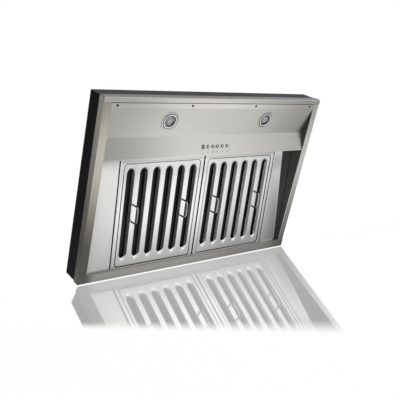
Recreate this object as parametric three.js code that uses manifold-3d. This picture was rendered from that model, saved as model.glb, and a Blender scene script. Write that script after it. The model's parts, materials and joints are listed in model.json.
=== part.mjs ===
// A built-in range hood insert: a dark sheet casing with a stainless rim, a folded panel for lamps
// and controls, two baffle filters on a sloping deck, and a double-inlet blower under a duct collar.
//
// Millimetres, as installed: +Z up, the front edge with the lamps towards -Y, and +X to the right
// of someone who looks at the front. The origin is the centre of the footprint, on the rim's lower
// face, so the insert stands on its rim at z = 0.

import * as THREE from "three";
import { mergeVertices } from "three/addons/utils/BufferGeometryUtils.js";
import Module from "manifold-3d";

const wasm = await Module();
wasm.setup();

// ---------------------------------------------------------------- driving dimensions

// Outer sizes of the part that shows in the kitchen
const hoodWidth = 873;
const hoodDepth = 575;
const skirtHeight = 77.3;

// Clearances
const seatGap = 0.3; // between a piece and what carries it
const seam = 0.5; // between sheets that butt against each other
const runningGap = 0.4; // round a piece that turns or slides

// Sheets
const rimSheet = 2;
const casingSheet = 1;
const panelSheet = 1.2;
const boxSheet = 1.2;
const bendRadius = 1;

// Rim
const rimLip = 25; // height of the bright lip round the casing
const sideBand = 25;
const frontBand = 15.5;
const rearBand = 27.5;

// Front panel: screw flange, lamp facet that rises to the rear, control facet that falls again
const flangeRecess = 1.6; // flange above the rim's lower face
const flangeSeam = 0.9;
const flangeDepth = 16;
const lampFacet = 92;
const bendRise = 20;
const controlFacet = 62.5;
const screwInset = 20; // outer screws from the liners
const screwCount = 4;
const screwShank = 4;
const screwHead = 7.6;
const screwHeadHeight = 1.1;
const screwLength = 9;

// Lamps
const lampSpacing = 394;
const lampInset = 42; // lamp centre from the front of its facet, measured level
const lampTrim = 66;
const lampBore = 55; // hole in the panel
const lampLens = 41;
const lampBodyHeight = 22;

// Controls
const buttonCount = 5;
const buttonPitch = 20;
const buttonSize = 11;
const buttonProud = 2.2;
const buttonFlange = 14;
const buttonTravel = 1.6;
const controlInset = 34.5; // row of buttons from the bend, measured level
const displayWidth = 11;
const displayHeight = 12.5;
const switchBoxDepth = 15;
const switchBoxBreadth = 26;

// Filter deck: it slopes from the rail behind the control facet down to the rear ledge
const railHeight = 47.7; // deck above the rim at the panel's rear edge
const ledgeHeight = 13.5; // deck above the rim at the ledge
const ledgeStandout = 2.5; // ledge in front of the rear band's edge
const railLip = 17; // rail lip behind the panel's rear edge
const filterFrontInset = 13; // filter's front edge behind the panel's rear edge
const filterRearOverlap = 17; // filter on the ledge
const filterTravel = 18.5; // forward slide that clears the ledge
const sidePanelFlange = 12;
const stopHeight = 8; // upturned edge of the ledge behind the filters

// Filters
const filterWidth = 321.8;
const filterGap = 1.6; // between the two filters, and beside them
const filterDepth = 18;
const filterSheet = 1;
const filterBorder = 16;
const filterCorner = 12; // corner radius of the frame's window
const frameReturn = 9; // inturned edge at the top of the frame
const slotCount = 6;
const slotWidth = 29.2;
const slotLand = 11; // plain strip between window and outer slots
const slotFrontLand = 17; // plain strip between window and slots at the front
const slotRearLand = 28; // and at the rear, most of it over the ledge
const slotWall = 9; // depth of the walls round each slot
const ventReach = 9; // depth of the rear baffle's vents, which dip between those walls
const ventClearance = 1.2;

// Handles
const handleSpan = 55;
const handleRise = 22;
const handleWire = 4;
const handleBend = 9;

// Blower
const impellerDiameter = 132;
const impellerWidth = 104;
const impellerRing = 12; // radial depth of the blades
const bladeCount = 22;
const bladeSheet = 1;
const hubDiameter = 24;
const shaftDiameter = 8;
const scrollWidth = 118;
const scrollSheet = 1.2;
const scrollStart = 5; // gap between impeller and scroll at the cut-off
const scrollGrowth = 33; // what the scroll's radius gains round to the outlet
const inletLip = 4; // inlet's radius over that of the blades' inner edges
const cutoffAngle = 70; // degrees above the level line through the axis
const outletAngle = 360; // degrees, where the spiral ends level with the axis at the rear
const outletHeight = 90; // outlet above the axis
const scrollFoot = 1; // scroll above the casing's top
const axisOffset = -50; // impeller axis from the middle of the box
const motorDiameter = 80;
const motorLength = 46;
const armCount = 3;
const armWidth = 14;

// Blower box and duct collar
const boxWidth = 540;
const boxDepth = 310;
const boxFoot = 15; // outturned foot of the box
const collarBore = 148;
const collarSheet = 1;
const collarFlange = 21;
const collarHeight = 39;
const flapSheet = 1;
const flapClearance = 1.4;
const flapPin = 3;
const flapPinSpacing = 8;
const knuckleSheet = 0.9;
const knuckleLength = 28;

// Terminal box
const terminalLength = 110;
const terminalBreadth = 70;
const terminalHeight = 34;
const terminalWall = 1.5;
const glandBore = 9;

// ---------------------------------------------------------------- derived places

const degrees = Math.PI / 180;
const halfWidth = hoodWidth / 2;
const halfDepth = hoodDepth / 2;

const bandEdgeX = halfWidth - sideBand;
const bandEdgeFront = -halfDepth + frontBand;
const bandEdgeRear = halfDepth - rearBand;

const casingX = halfWidth - rimSheet - seatGap;
const casingY = halfDepth - rimSheet - seatGap;
const casingFloor = rimSheet + seatGap;
const casingFoot = 8; // inturned lower edge of the front and rear walls
const casingEdge = 15; // inturned upper edge
const wallTop = skirtHeight - casingSheet - seatGap;
const linerX = bandEdgeX + seatGap;
const innerX = linerX - seam; // half the width of what fits between the liners

const flangeFront = bandEdgeFront + flangeSeam;
const facetFront = flangeFront + flangeDepth;
const bendY = facetFront + lampFacet;
const panelRear = bendY + controlFacet;
const bendZ = flangeRecess + bendRise;
const lampAngle = Math.atan2(bendRise, lampFacet);
const controlAngle = Math.atan2(-bendRise, controlFacet);

const ledgeFront = bandEdgeRear - ledgeStandout;
const deckAngle = Math.atan2(railHeight - ledgeHeight, ledgeFront - panelRear);
const deckZ = (y) => ledgeHeight + (ledgeFront - y) * Math.tan(deckAngle);
const filterFrontY = panelRear + filterFrontInset;
const filterRearY = ledgeFront + filterRearOverlap;
const deckY = (filterFrontY + filterRearY) / 2;
const filterLength = (filterRearY - filterFrontY) / Math.cos(deckAngle);
const filterX = (filterGap + filterWidth) / 2;
const filterSide = filterGap / 2 + filterWidth; // outer edge of each filter

const windowWidth = filterWidth - 2 * filterBorder;
const windowLength = filterLength - 2 * filterBorder;
const slotPitch = (windowWidth - 2 * slotLand - slotWidth) / (slotCount - 1);
const slotLength = windowLength - slotFrontLand - slotRearLand;
const slotY = (slotFrontLand - slotRearLand) / 2; // middle of the slots from the filter's middle
const slotX = (i) => (i - (slotCount - 1) / 2) * slotPitch;
const faceLevel = filterSheet + seatGap; // lower side of the slotted face

const casingTop = skirtHeight;
const impellerRadius = impellerDiameter / 2;
const scrollRadius = (angle) =>
  impellerRadius + scrollStart + (scrollGrowth * (angle - cutoffAngle)) / (outletAngle - cutoffAngle);
const axisY = axisOffset;
const axisZ = casingTop + scrollFoot + scrollSheet + scrollRadius(270);
const outletFront = axisY + scrollRadius(cutoffAngle) * Math.cos(cutoffAngle * degrees);
const outletRear = axisY + scrollRadius(outletAngle);
const inletRadius = impellerRadius - impellerRing + inletLip;
const outletY = (outletFront + outletRear) / 2;
const boxFloor = casingTop + seatGap;
const boxTop = axisZ + outletHeight + seatGap + boxSheet;
const collarFloor = boxTop + seatGap;
const knuckleRadius = flapPin / 2 + runningGap + knuckleSheet;
const pinZ = collarFloor + knuckleRadius;

// ---------------------------------------------------------------- finishes

const finish = (color, roughness, metalness) =>
  new THREE.MeshStandardMaterial({ color, roughness, metalness, flatShading: true });
const brushedRim = finish(0xb9b6aa, 0.35, 0.9);
const brushedPanel = finish(0xbebcb6, 0.3, 0.9);
const brightFilter = finish(0xf0f0ec, 0.25, 0.9);
const darkPaint = finish(0x1b1d1c, 0.5, 0.1);
const galvanised = finish(0xa9adb0, 0.5, 0.8);
const chrome = finish(0xd8dadc, 0.12, 1);
const frosted = finish(0xc9ccd0, 0.3, 0);
const blackPlastic = finish(0x141414, 0.5, 0);
const smokedPlastic = finish(0x22252a, 0.15, 0);
const castMotor = finish(0x6d7278, 0.55, 0.7);

// ---------------------------------------------------------------- building blocks

// A closed geometry as a solid that can be joined and cut.
function solid(geometry) {
  const bare = geometry.clone();
  bare.deleteAttribute("normal");
  bare.deleteAttribute("uv");
  const merged = mergeVertices(bare, 1e-4);
  const corners = merged.index.array;
  const kept = [];
  for (let i = 0; i < corners.length; i += 3) {
    const [a, b, c] = [corners[i], corners[i + 1], corners[i + 2]];
    if (a !== b && b !== c && c !== a) kept.push(a, b, c);
  }
  return new wasm.Manifold(
    new wasm.Mesh({
      numProp: 3,
      vertProperties: merged.attributes.position.array,
      triVerts: new Uint32Array(kept),
    }),
  );
}

function geometryOf(body) {
  const { vertProperties, triVerts } = body.getMesh();
  const geometry = new THREE.BufferGeometry();
  geometry.setAttribute("position", new THREE.BufferAttribute(vertProperties, 3));
  geometry.setIndex([...triVerts]);
  geometry.computeVertexNormals();
  return geometry;
}

function join(...pieces) {
  return geometryOf(pieces.map(solid).reduce((whole, piece) => whole.add(piece)));
}

function cut(body, ...tools) {
  return geometryOf(tools.map(solid).reduce((rest, tool) => rest.subtract(tool), solid(body)));
}

const piece = (name, geometry, material) => {
  const mesh = new THREE.Mesh(geometry, material);
  mesh.name = name;
  return mesh;
};

const X = new THREE.Vector3(1, 0, 0);
const Y = new THREE.Vector3(0, 1, 0);
const Z = new THREE.Vector3(0, 0, 1);

function extrude(shape, depth, curveSegments = 6) {
  return new THREE.ExtrudeGeometry(shape, { depth, bevelEnabled: false, curveSegments });
}

// A section drawn in (y, z), run from x0 to x1.
function alongX(section, x0, x1) {
  const basis = new THREE.Matrix4().makeBasis(Y, Z, X);
  return extrude(section, x1 - x0).applyMatrix4(basis).translate(x0, 0, 0);
}

// A section drawn in (x, z), run from y0 to y1.
function alongY(section, y0, y1) {
  const basis = new THREE.Matrix4().makeBasis(X, Z, Y.clone().negate());
  return extrude(section, y1 - y0).applyMatrix4(basis).translate(0, y1, 0);
}

// An outline drawn in (x, y), run from z0 to z1.
function alongZ(outline, z0, z1, curveSegments) {
  return extrude(outline, z1 - z0, curveSegments).translate(0, 0, z0);
}

function block(x0, x1, y0, y1, z0, z1) {
  const box = new THREE.BoxGeometry(x1 - x0, y1 - y0, z1 - z0);
  return box.translate((x0 + x1) / 2, (y0 + y1) / 2, (z0 + z1) / 2);
}

// A profile of [radius, height] points turned about the Z axis. It runs anticlockwise, and either
// closes on itself or has both ends on the axis.
function turned(profile, sides = 32) {
  const points = profile.map(([r, h]) => new THREE.Vector2(r, h));
  const ring = profile[0][0] > 0;
  if (ring) points.push(points[0].clone());
  return new THREE.LatheGeometry(points, sides).rotateX(Math.PI / 2);
}

const disc = (radius, z0, z1, sides = 32) =>
  turned([[0, z0], [radius, z0], [radius, z1], [0, z1]], sides);
const tube = (inner, outer, z0, z1, sides = 32) =>
  turned([[inner, z0], [outer, z0], [outer, z1], [inner, z1]], sides);
const turnToX = (geometry) => geometry.rotateY(Math.PI / 2);

// The section of a sheet folded along a path of points. The path is the sheet's outer skin, its
// thickness lies to the left of the path, and each fold is an arc round the bend radius.
function foldedSheet(path, sheet, bend = bendRadius, steps = 2) {
  const points = path.map(([u, v]) => new THREE.Vector2(u, v));
  const skin = [];
  const back = [];
  const leftOf = (d) => new THREE.Vector2(-d.y, d.x);
  const towards = (a, b) => b.clone().sub(a).normalize();
  points.forEach((corner, i) => {
    const into = i > 0 ? towards(points[i - 1], corner) : towards(corner, points[i + 1]);
    const out = i < points.length - 1 ? towards(corner, points[i + 1]) : into;
    const turn = Math.atan2(into.cross(out), into.dot(out));
    if (Math.abs(turn) < 1e-6) {
      skin.push(corner);
      back.push(corner.clone().addScaledVector(leftOf(into), sheet));
      return;
    }
    const side = Math.sign(turn);
    const radius = side > 0 ? bend + sheet : bend;
    const centre = corner
      .clone()
      .addScaledVector(into, -radius * Math.tan(Math.abs(turn) / 2))
      .addScaledVector(leftOf(into), side * radius);
    for (let k = 0; k <= steps; k++) {
      const spoke = leftOf(into).multiplyScalar(-side);
      spoke.rotateAround(new THREE.Vector2(), (turn * k) / steps);
      skin.push(centre.clone().addScaledVector(spoke, radius));
      back.push(centre.clone().addScaledVector(spoke, radius - side * sheet));
    }
  });
  return new THREE.Shape([...skin, ...back.reverse()]);
}

function roundedRectangle(width, length, radius, Kind = THREE.Shape) {
  const [w, l] = [width / 2 - radius, length / 2 - radius];
  const outline = new Kind();
  outline.absarc(w, l, radius, 0, Math.PI / 2);
  outline.absarc(-w, l, radius, Math.PI / 2, Math.PI);
  outline.absarc(-w, -l, radius, Math.PI, 1.5 * Math.PI);
  outline.absarc(w, -l, radius, 1.5 * Math.PI, 2 * Math.PI);
  outline.closePath();
  return outline;
}

// A filter's long slot with round ends, at x.
function slotOutline(x, width, length, Kind = THREE.Shape) {
  const radius = width / 2;
  const reach = length / 2 - radius;
  const outline = new Kind();
  outline.absarc(x, slotY + reach, radius, 0, Math.PI);
  outline.absarc(x, slotY - reach, radius, Math.PI, 2 * Math.PI);
  outline.closePath();
  return outline;
}

const sides = [
  ["left", -1],
  ["right", 1],
];
const mirrorPath = (path, sign) => (sign > 0 ? path : path.map(([x, z]) => [-x, z]).reverse());

// ---------------------------------------------------------------- casing

// Dark painted sheets. Each side is folded into a deep channel: the outer wall, a floor on the
// rim's band, and the inner wall that shows beside the filters.
function casing() {
  const wallEnd = casingY - casingSheet - seatGap;
  const channel = [
    [casingX, wallTop],
    [casingX, casingFloor],
    [linerX, casingFloor],
    [linerX, wallTop],
  ].reverse();
  const openingX = boxWidth / 2 - boxFoot;
  const openingY = boxDepth / 2 - boxFoot;
  const top = cut(
    block(-casingX, casingX, -casingY, casingY, skirtHeight - casingSheet, skirtHeight),
    block(-openingX, openingX, -openingY, openingY, 0, skirtHeight + 1),
  );
  return [
    piece("casing_front", endWall(-1), darkPaint),
    piece("casing_rear", endWall(1), darkPaint),
    ...sides.map(([side, sign]) => {
      const section = foldedSheet(mirrorPath(channel, sign), casingSheet);
      return piece(`casing_${side}`, alongY(section, -wallEnd, wallEnd), darkPaint);
    }),
    piece("casing_top", top, darkPaint),
  ];
}

// The front or rear wall runs the full width. Its folded edges fit between the side channels.
function endWall(sign) {
  const path = [
    [casingY - casingFoot, casingFloor],
    [casingY, casingFloor],
    [casingY, wallTop],
    [casingY - casingEdge, wallTop],
  ];
  const section = foldedSheet(mirrorPath(path, sign), casingSheet);
  const [near, far] = [casingY - casingSheet, casingY].map((y) => y * sign).sort((a, b) => a - b);
  return join(
    alongX(section, -innerX, innerX),
    block(-casingX, casingX, near, far, casingFloor + bendRadius + casingSheet, wallTop - 2 * bendRadius),
  );
}

// ---------------------------------------------------------------- rim

// Stainless trim under the casing: a flat band with a lip up round the outside. The front and rear
// bands run the full width, and the side bands butt between them, with their lips inside the others.
function rim() {
  const shelfZ = flangeRecess + panelSheet + seatGap;
  const frontBend = foldedSheet(
    [
      [bandEdgeFront, 0],
      [-halfDepth, 0],
      [-halfDepth, rimLip],
    ].reverse(),
    rimSheet,
  );
  const shelf = foldedSheet(
    [
      [bandEdgeFront - 2 * rimSheet, 0],
      [bandEdgeFront, 0],
      [bandEdgeFront, shelfZ],
      [facetFront, shelfZ],
    ],
    rimSheet,
    0.5,
  );
  const screwHoles = screwPlaces().map(([x, y]) =>
    disc(screwShank / 2 + seatGap, 0, 10, 12).translate(x, y, 0),
  );
  const rearBend = foldedSheet(
    [
      [halfDepth, rimLip],
      [halfDepth, 0],
      [bandEdgeRear, 0],
    ].reverse(),
    rimSheet,
  );
  const front = cut(
    join(alongX(frontBend, -halfWidth, halfWidth), alongX(shelf, -innerX, innerX)),
    ...screwHoles,
  );
  return [
    piece("rim_front", front, brushedRim),
    piece("rim_rear", alongX(rearBend, -halfWidth, halfWidth), brushedRim),
    ...sides.map(([side, sign]) => piece(`rim_${side}`, sideRim(sign), brushedRim)),
  ];
}

function sideRim(sign) {
  const bend = [
    [bandEdgeX, 0],
    [halfWidth, 0],
    [halfWidth, rimLip],
  ];
  const section = foldedSheet(mirrorPath(bend, sign), rimSheet);
  const run = alongY(section, bandEdgeFront + seam, bandEdgeRear - seam);
  const lipEnd = halfDepth - rimSheet - seatGap;
  const [inner, outer] = [halfWidth - rimSheet, halfWidth].map((x) => x * sign).sort((a, b) => a - b);
  return join(run, block(inner, outer, -lipEnd, lipEnd, rimSheet + bendRadius, rimLip));
}

// ---------------------------------------------------------------- front panel

function screwPlaces() {
  const outer = innerX - screwInset;
  const y = flangeFront + flangeDepth / 2;
  return Array.from({ length: screwCount }, (_, i) => [
    outer * ((2 * i) / (screwCount - 1) - 1),
    y,
  ]);
}

const lampY = facetFront + lampInset;
const lampZ = flangeRecess + lampInset * Math.tan(lampAngle);
const controlY = bendY + controlInset;
const controlZ = bendZ + controlInset * Math.tan(controlAngle);
const displayX = (-buttonCount * buttonPitch) / 2;
const buttonX = (i) => displayX + (i + 1) * buttonPitch;

// Sets a geometry drawn about z = 0 on the lamp facet or on the control facet.
const onLampFacet = (geometry, x) => geometry.rotateX(lampAngle).translate(x, lampY, lampZ);
const onControlFacet = (geometry, x) =>
  geometry.rotateX(controlAngle).translate(x, controlY, controlZ);

// One stainless sheet, screwed up against the front rim's shelf: flange, lamp facet, control facet,
// and a rear wall up to the filter rail.
function frontPanel() {
  const railFloor = deckZ(panelRear) - (seatGap + panelSheet) / Math.cos(deckAngle);
  const section = foldedSheet(
    [
      [flangeFront, flangeRecess],
      [facetFront, flangeRecess],
      [bendY, bendZ],
      [panelRear, flangeRecess],
      [panelRear, railFloor - seatGap],
    ],
    panelSheet,
    1.5,
  );
  const through = 20;
  const cuts = [
    ...screwPlaces().map(([x, y]) => disc(screwShank / 2 + seatGap, 0, 10, 12).translate(x, y, 0)),
    ...sides.map(([, sign]) =>
      onLampFacet(disc(lampBore / 2, -through, through, 20), (sign * lampSpacing) / 2),
    ),
    ...Array.from({ length: buttonCount }, (_, i) =>
      onControlFacet(disc(buttonSize / 2 + runningGap, -4, 6, 12), buttonX(i)),
    ),
    onControlFacet(
      block(
        -displayWidth / 2 - seatGap,
        displayWidth / 2 + seatGap,
        -displayHeight / 2 - seatGap,
        displayHeight / 2 + seatGap,
        -4,
        6,
      ),
      displayX,
    ),
  ];
  const panel = cut(alongX(section, -innerX, innerX), ...cuts);
  return [piece("front_panel", panel, brushedPanel), ...panelScrews()];
}

function panelScrews() {
  const headTop = flangeRecess - seatGap / 2;
  const headFloor = headTop - screwHeadHeight;
  const [shank, head] = [screwShank / 2, screwHead / 2];
  const profile = [
    [0, headFloor],
    [head * 0.7, headFloor],
    [head, headFloor + screwHeadHeight * 0.6],
    [head, headTop],
    [shank, headTop],
    [shank, headTop + screwLength * 0.85],
    [0, headTop + screwLength],
  ];
  return screwPlaces().map(([x, y], i) =>
    piece(`panel_screw_${i + 1}`, turned(profile, 10).translate(x, y, 0), chrome),
  );
}

// ---------------------------------------------------------------- lamps

// A round lamp: a trim ring under the panel with a groove and a raised inner bead, a domed lens,
// and a ribbed lamp body behind. Heights are measured from the facet, upwards.
function lamp(side, sign) {
  const trimRadius = lampTrim / 2;
  const lensRadius = lampLens / 2;
  const sleeve = lampBore / 2 - seatGap;
  const beadOuter = trimRadius * 0.8;
  const beadInner = lensRadius + 1.7;
  const lensTop = 2.2;
  const sleeveTop = 6;
  const sleeveInner = sleeve - 2.8;
  const trim = [
    [trimRadius, -seatGap],
    [sleeve, -seatGap],
    [sleeve, sleeveTop],
    [sleeveInner, sleeveTop],
    [sleeveInner, lensTop + seatGap],
    [lensRadius + 0.4, lensTop + seatGap],
    [lensRadius + 0.8, -0.4],
    [beadInner, -2.1],
    [(beadInner + beadOuter) / 2, -2.7],
    [beadOuter, -1.6],
    [beadOuter + 0.7, -1.1],
    [trimRadius - 3.4, -2.2],
    [trimRadius, -1],
  ];
  const lens = [
    [0, -1.2],
    [lensRadius * 0.35, -1.05],
    [lensRadius * 0.65, -0.5],
    [lensRadius * 0.88, 0.5],
    [lensRadius, 1.5],
    [lensRadius, lensTop],
    [0, lensTop],
  ];
  const body = lampBody(sleeveInner - seatGap, lensTop + 2 * seatGap);
  const x = (sign * lampSpacing) / 2;
  return [
    piece(`lamp_${side}_trim`, onLampFacet(turned(trim, 20), x), chrome),
    piece(`lamp_${side}_lens`, onLampFacet(turned(lens, 20), x), frosted),
    piece(`lamp_${side}_body`, onLampFacet(turned(body, 16), x), castMotor),
  ];
}

function lampBody(radius, floor) {
  const ribs = 2;
  const top = floor + lampBodyHeight;
  const firstRib = floor + lampBodyHeight * 0.4;
  const ribPitch = (top - firstRib) / ribs;
  const profile = [
    [0, floor],
    [radius, floor],
  ];
  for (let i = 0; i < ribs; i++) {
    const z = firstRib + i * ribPitch;
    profile.push([radius, z], [radius * 0.78, z], [radius * 0.78, z + ribPitch / 2]);
    profile.push([radius, z + ribPitch / 2]);
  }
  profile.push([radius, top], [0, top]);
  return profile;
}

// ---------------------------------------------------------------- controls

// A display window and a row of push buttons through the control facet, backed by a switch box.
// Each button's flange lies behind the sheet and moves up in its own well when it is pressed.
function controls() {
  const flangeZ = panelSheet + seatGap;
  const flangeTop = flangeZ + 1.5;
  const wellRadius = buttonFlange / 2 + runningGap;
  const wellTop = flangeTop + buttonTravel + 1;
  const radius = buttonSize / 2;
  const button = [
    [0, -buttonProud],
    [radius * 0.6, -buttonProud * 0.95],
    [radius * 0.9, -buttonProud * 0.72],
    [radius, -buttonProud * 0.4],
    [radius, flangeZ],
    [buttonFlange / 2, flangeZ],
    [buttonFlange / 2, flangeTop],
    [0, flangeTop],
  ];
  const boxEnd = displayX - displayWidth / 2 - 6;
  const wells = Array.from({ length: buttonCount }, (_, i) =>
    disc(wellRadius, 0, wellTop, 12).translate(buttonX(i), 0, 0),
  );
  const half = switchBoxBreadth / 2;
  const switchBox = cut(block(boxEnd, -boxEnd, -half, half, flangeZ, flangeZ + switchBoxDepth), ...wells);
  const display = block(
    -displayWidth / 2,
    displayWidth / 2,
    -displayHeight / 2,
    displayHeight / 2,
    -0.6,
    panelSheet,
  );
  return [
    piece("display_window", onControlFacet(display, displayX), smokedPlastic),
    piece("switch_box", onControlFacet(switchBox, 0), blackPlastic),
    ...Array.from({ length: buttonCount }, (_, i) =>
      piece(`button_${i + 1}`, onControlFacet(turned(button, 12), buttonX(i)), chrome),
    ),
  ];
}

// ---------------------------------------------------------------- deck that carries the filters

// Places of the deck's own frame: y runs down the slope from the middle of the filters, and z = 0 is
// the lower face of filters and side panels.
const deck = new THREE.Group();
deck.position.set(0, deckY, deckZ(deckY));
deck.rotation.x = -deckAngle;
const alongDeck = (y) => (y - deckY) / Math.cos(deckAngle);

// The rail behind the control facet holds the filters' front edges, with room to slide forward.
function filterRail() {
  const mouth = alongDeck(panelRear + railLip);
  const web = alongDeck(filterFrontY) - filterTravel - 2;
  const roof = filterDepth + 2 * seatGap;
  const section = foldedSheet(
    [
      [mouth + 6, roof],
      [web, roof],
      [web, -seatGap],
      [mouth, -seatGap],
    ].reverse(),
    panelSheet,
    0.6,
  );
  return piece("filter_rail", alongX(section, -innerX, innerX), brushedPanel);
}

function sidePanels() {
  const front = alongDeck(filterFrontY) - filterTravel - 2 + seam;
  const rear = alongDeck(filterRearY);
  const start = filterSide + filterGap;
  const path = [
    [start, sidePanelFlange],
    [start, 0],
    [innerX, 0],
    [innerX, sidePanelFlange],
  ];
  return sides.map(([side, sign]) => {
    const section = foldedSheet(mirrorPath(path, sign), panelSheet);
    return piece(`side_panel_${side}`, alongY(section, front, rear), brushedPanel);
  });
}

// The folded ledge on the rear band, which the filters' rear edges rest on, with a stop behind them.
function rearLedge() {
  const rise = seatGap / Math.cos(deckAngle);
  const ledgeRear = filterRearY + seatGap + stopHeight * Math.sin(deckAngle);
  const section = foldedSheet(
    [
      [ledgeRear, deckZ(ledgeRear) + stopHeight],
      [ledgeRear, deckZ(ledgeRear) - rise],
      [ledgeFront, deckZ(ledgeFront) - rise],
      [ledgeFront, casingFloor],
      [casingY - casingFoot - seam, casingFloor],
    ],
    panelSheet,
  );
  return piece("rear_ledge", alongX(section, -innerX, innerX), brushedRim);
}

// ---------------------------------------------------------------- filters

// A baffle filter: a frame with a round-cornered window, a face with six walled slots, a rear
// baffle whose narrower vents dip between those walls, and two wire handles on the bars.
function filter(side, sign) {
  const group = new THREE.Group();
  group.position.x = sign * filterX;
  const named = (part) => `filter_${side}_${part}`;
  group.add(
    piece(named("frame"), filterFrame(), brightFilter),
    piece(named("face"), filterFace(), brightFilter),
    piece(named("baffle"), filterBaffle(), brightFilter),
  );
  [
    ["outer", sign],
    ["inner", -sign],
  ].forEach(([place, towards]) => {
    const x = towards * slotPitch * (slotCount / 2 - 1);
    group.add(piece(named(`handle_${place}`), handle().translate(x, slotY, 0), chrome));
  });
  return group;
}

const framePlan = (inset, Kind) =>
  roundedRectangle(filterWidth - 2 * inset, filterLength - 2 * inset, Math.max(3 - inset, 1), Kind);

function filterFrame() {
  const border = framePlan(0);
  border.holes.push(roundedRectangle(windowWidth, windowLength, filterCorner, THREE.Path));
  const wall = framePlan(0);
  wall.holes.push(framePlan(filterSheet, THREE.Path));
  const edge = framePlan(0);
  edge.holes.push(framePlan(frameReturn, THREE.Path));
  return join(
    alongZ(border, 0, filterSheet, 2),
    alongZ(wall, 0, filterDepth, 1),
    alongZ(edge, filterDepth - filterSheet, filterDepth, 1),
  );
}

function filterFace() {
  const plate = framePlan(filterSheet + seatGap);
  const walls = [];
  for (let i = 0; i < slotCount; i++) {
    plate.holes.push(slotOutline(slotX(i), slotWidth, slotLength, THREE.Path));
    const grown = 2 * filterSheet;
    const wall = slotOutline(slotX(i), slotWidth + grown, slotLength + grown);
    wall.holes.push(slotOutline(slotX(i), slotWidth, slotLength, THREE.Path));
    walls.push(alongZ(wall, faceLevel, faceLevel + filterSheet + slotWall, 3));
  }
  return join(alongZ(plate, faceLevel, faceLevel + filterSheet, 3), ...walls);
}

function filterBaffle() {
  const top = filterDepth - filterSheet - seatGap;
  const outer = slotPitch - slotWidth - 2 * filterSheet - 2 * ventClearance;
  const inner = outer - 2 * filterSheet;
  const plate = framePlan(filterSheet + seatGap);
  const walls = [];
  for (let i = 0; i < slotCount - 1; i++) {
    const x = (slotX(i) + slotX(i + 1)) / 2;
    plate.holes.push(slotOutline(x, inner, slotLength, THREE.Path));
    const wall = slotOutline(x, outer, slotLength + outer - inner);
    wall.holes.push(slotOutline(x, inner, slotLength, THREE.Path));
    walls.push(alongZ(wall, top - ventReach, top, 2));
  }
  return join(alongZ(plate, top - filterSheet, top, 2), ...walls);
}

// A bent wire: two legs square to the face and a grip between them, with round corners.
function handle() {
  const foot = faceLevel - seatGap;
  const reach = handleSpan / 2;
  const grip = foot - handleRise;
  const path = new THREE.CurvePath();
  const at = (y, z) => new THREE.Vector3(0, y, z);
  const corner = (from, over, to) => path.add(new THREE.QuadraticBezierCurve3(from, over, to));
  path.add(new THREE.LineCurve3(at(-reach, foot), at(-reach, grip + handleBend)));
  corner(at(-reach, grip + handleBend), at(-reach, grip), at(-reach + handleBend, grip));
  path.add(new THREE.LineCurve3(at(-reach + handleBend, grip), at(reach - handleBend, grip)));
  corner(at(reach - handleBend, grip), at(reach, grip), at(reach, grip + handleBend));
  path.add(new THREE.LineCurve3(at(reach, grip + handleBend), at(reach, foot)));
  const section = new THREE.Shape();
  section.absarc(0, 0, handleWire / 2, 0, 2 * Math.PI);
  return new THREE.ExtrudeGeometry(section, { steps: 16, curveSegments: 4, extrudePath: path });
}

// ---------------------------------------------------------------- blower

// Everything here is drawn with the impeller's axis along X through the origin, so that the
// sections are in (y, z), and is then set at the axis.
const atAxis = (geometry) => geometry.translate(0, axisY, axisZ);

// The scroll's outline at a distance outside its inner skin: a spiral from the cut-off round to the
// rear, then straight up, and down again along the throat to the cut-off.
function scrollSkin(offset) {
  const points = [];
  const steps = 22;
  for (let i = 0; i <= steps; i++) {
    const angle = cutoffAngle + ((outletAngle - cutoffAngle) * i) / steps;
    const r = scrollRadius(angle) + offset;
    points.push([r * Math.cos(angle * degrees), r * Math.sin(angle * degrees)]);
  }
  points.push([scrollRadius(outletAngle) + offset, outletHeight]);
  return points;
}

function scrollWall() {
  const inner = scrollSkin(0);
  const outer = scrollSkin(scrollSheet);
  const throat = inner[0][0];
  const outline = [
    ...inner,
    ...outer.slice(1).reverse(),
    [throat - scrollSheet, inner[0][1] + scrollSheet],
    [throat - scrollSheet, outletHeight],
    [throat, outletHeight],
  ];
  return alongX(new THREE.Shape(outline.map(([y, z]) => new THREE.Vector2(y, z))), 0, scrollWidth);
}

function scrollSide(sign) {
  const outline = scrollSkin(scrollSheet);
  outline.push([outline[0][0] - scrollSheet, outletHeight]);
  const plan = new THREE.Shape(outline.map(([y, z]) => new THREE.Vector2(y, z)));
  const mouth = inletRadius;
  const [near, far] = [scrollWidth / 2 + seatGap, scrollWidth / 2 + seatGap + scrollSheet];
  const plate = alongX(plan, near, far);
  const bell = turnToX(
    turned(
      [
        [mouth, near - 2.5],
        [mouth + 1.2, near - 2.5],
        [mouth + 1.6, near],
        [mouth + 4.5, near],
        [mouth + 4.5, far],
        [mouth + 1.2, far],
        [mouth, near + 0.6],
      ],
      20,
    ),
  );
  const opened = cut(plate, turnToX(disc(mouth + 1.2, near - 5, far + 5, 20)));
  const whole = join(opened, bell);
  return sign > 0 ? whole : mirrorX(whole);
}

// Mirrored in the plane x = 0, with the faces turned out again.
function mirrorX(geometry) {
  const flipped = geometry.clone().scale(-1, 1, 1);
  const corners = flipped.index.array;
  for (let i = 0; i < corners.length; i += 3) {
    [corners[i], corners[i + 1]] = [corners[i + 1], corners[i]];
  }
  return flipped;
}

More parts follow.
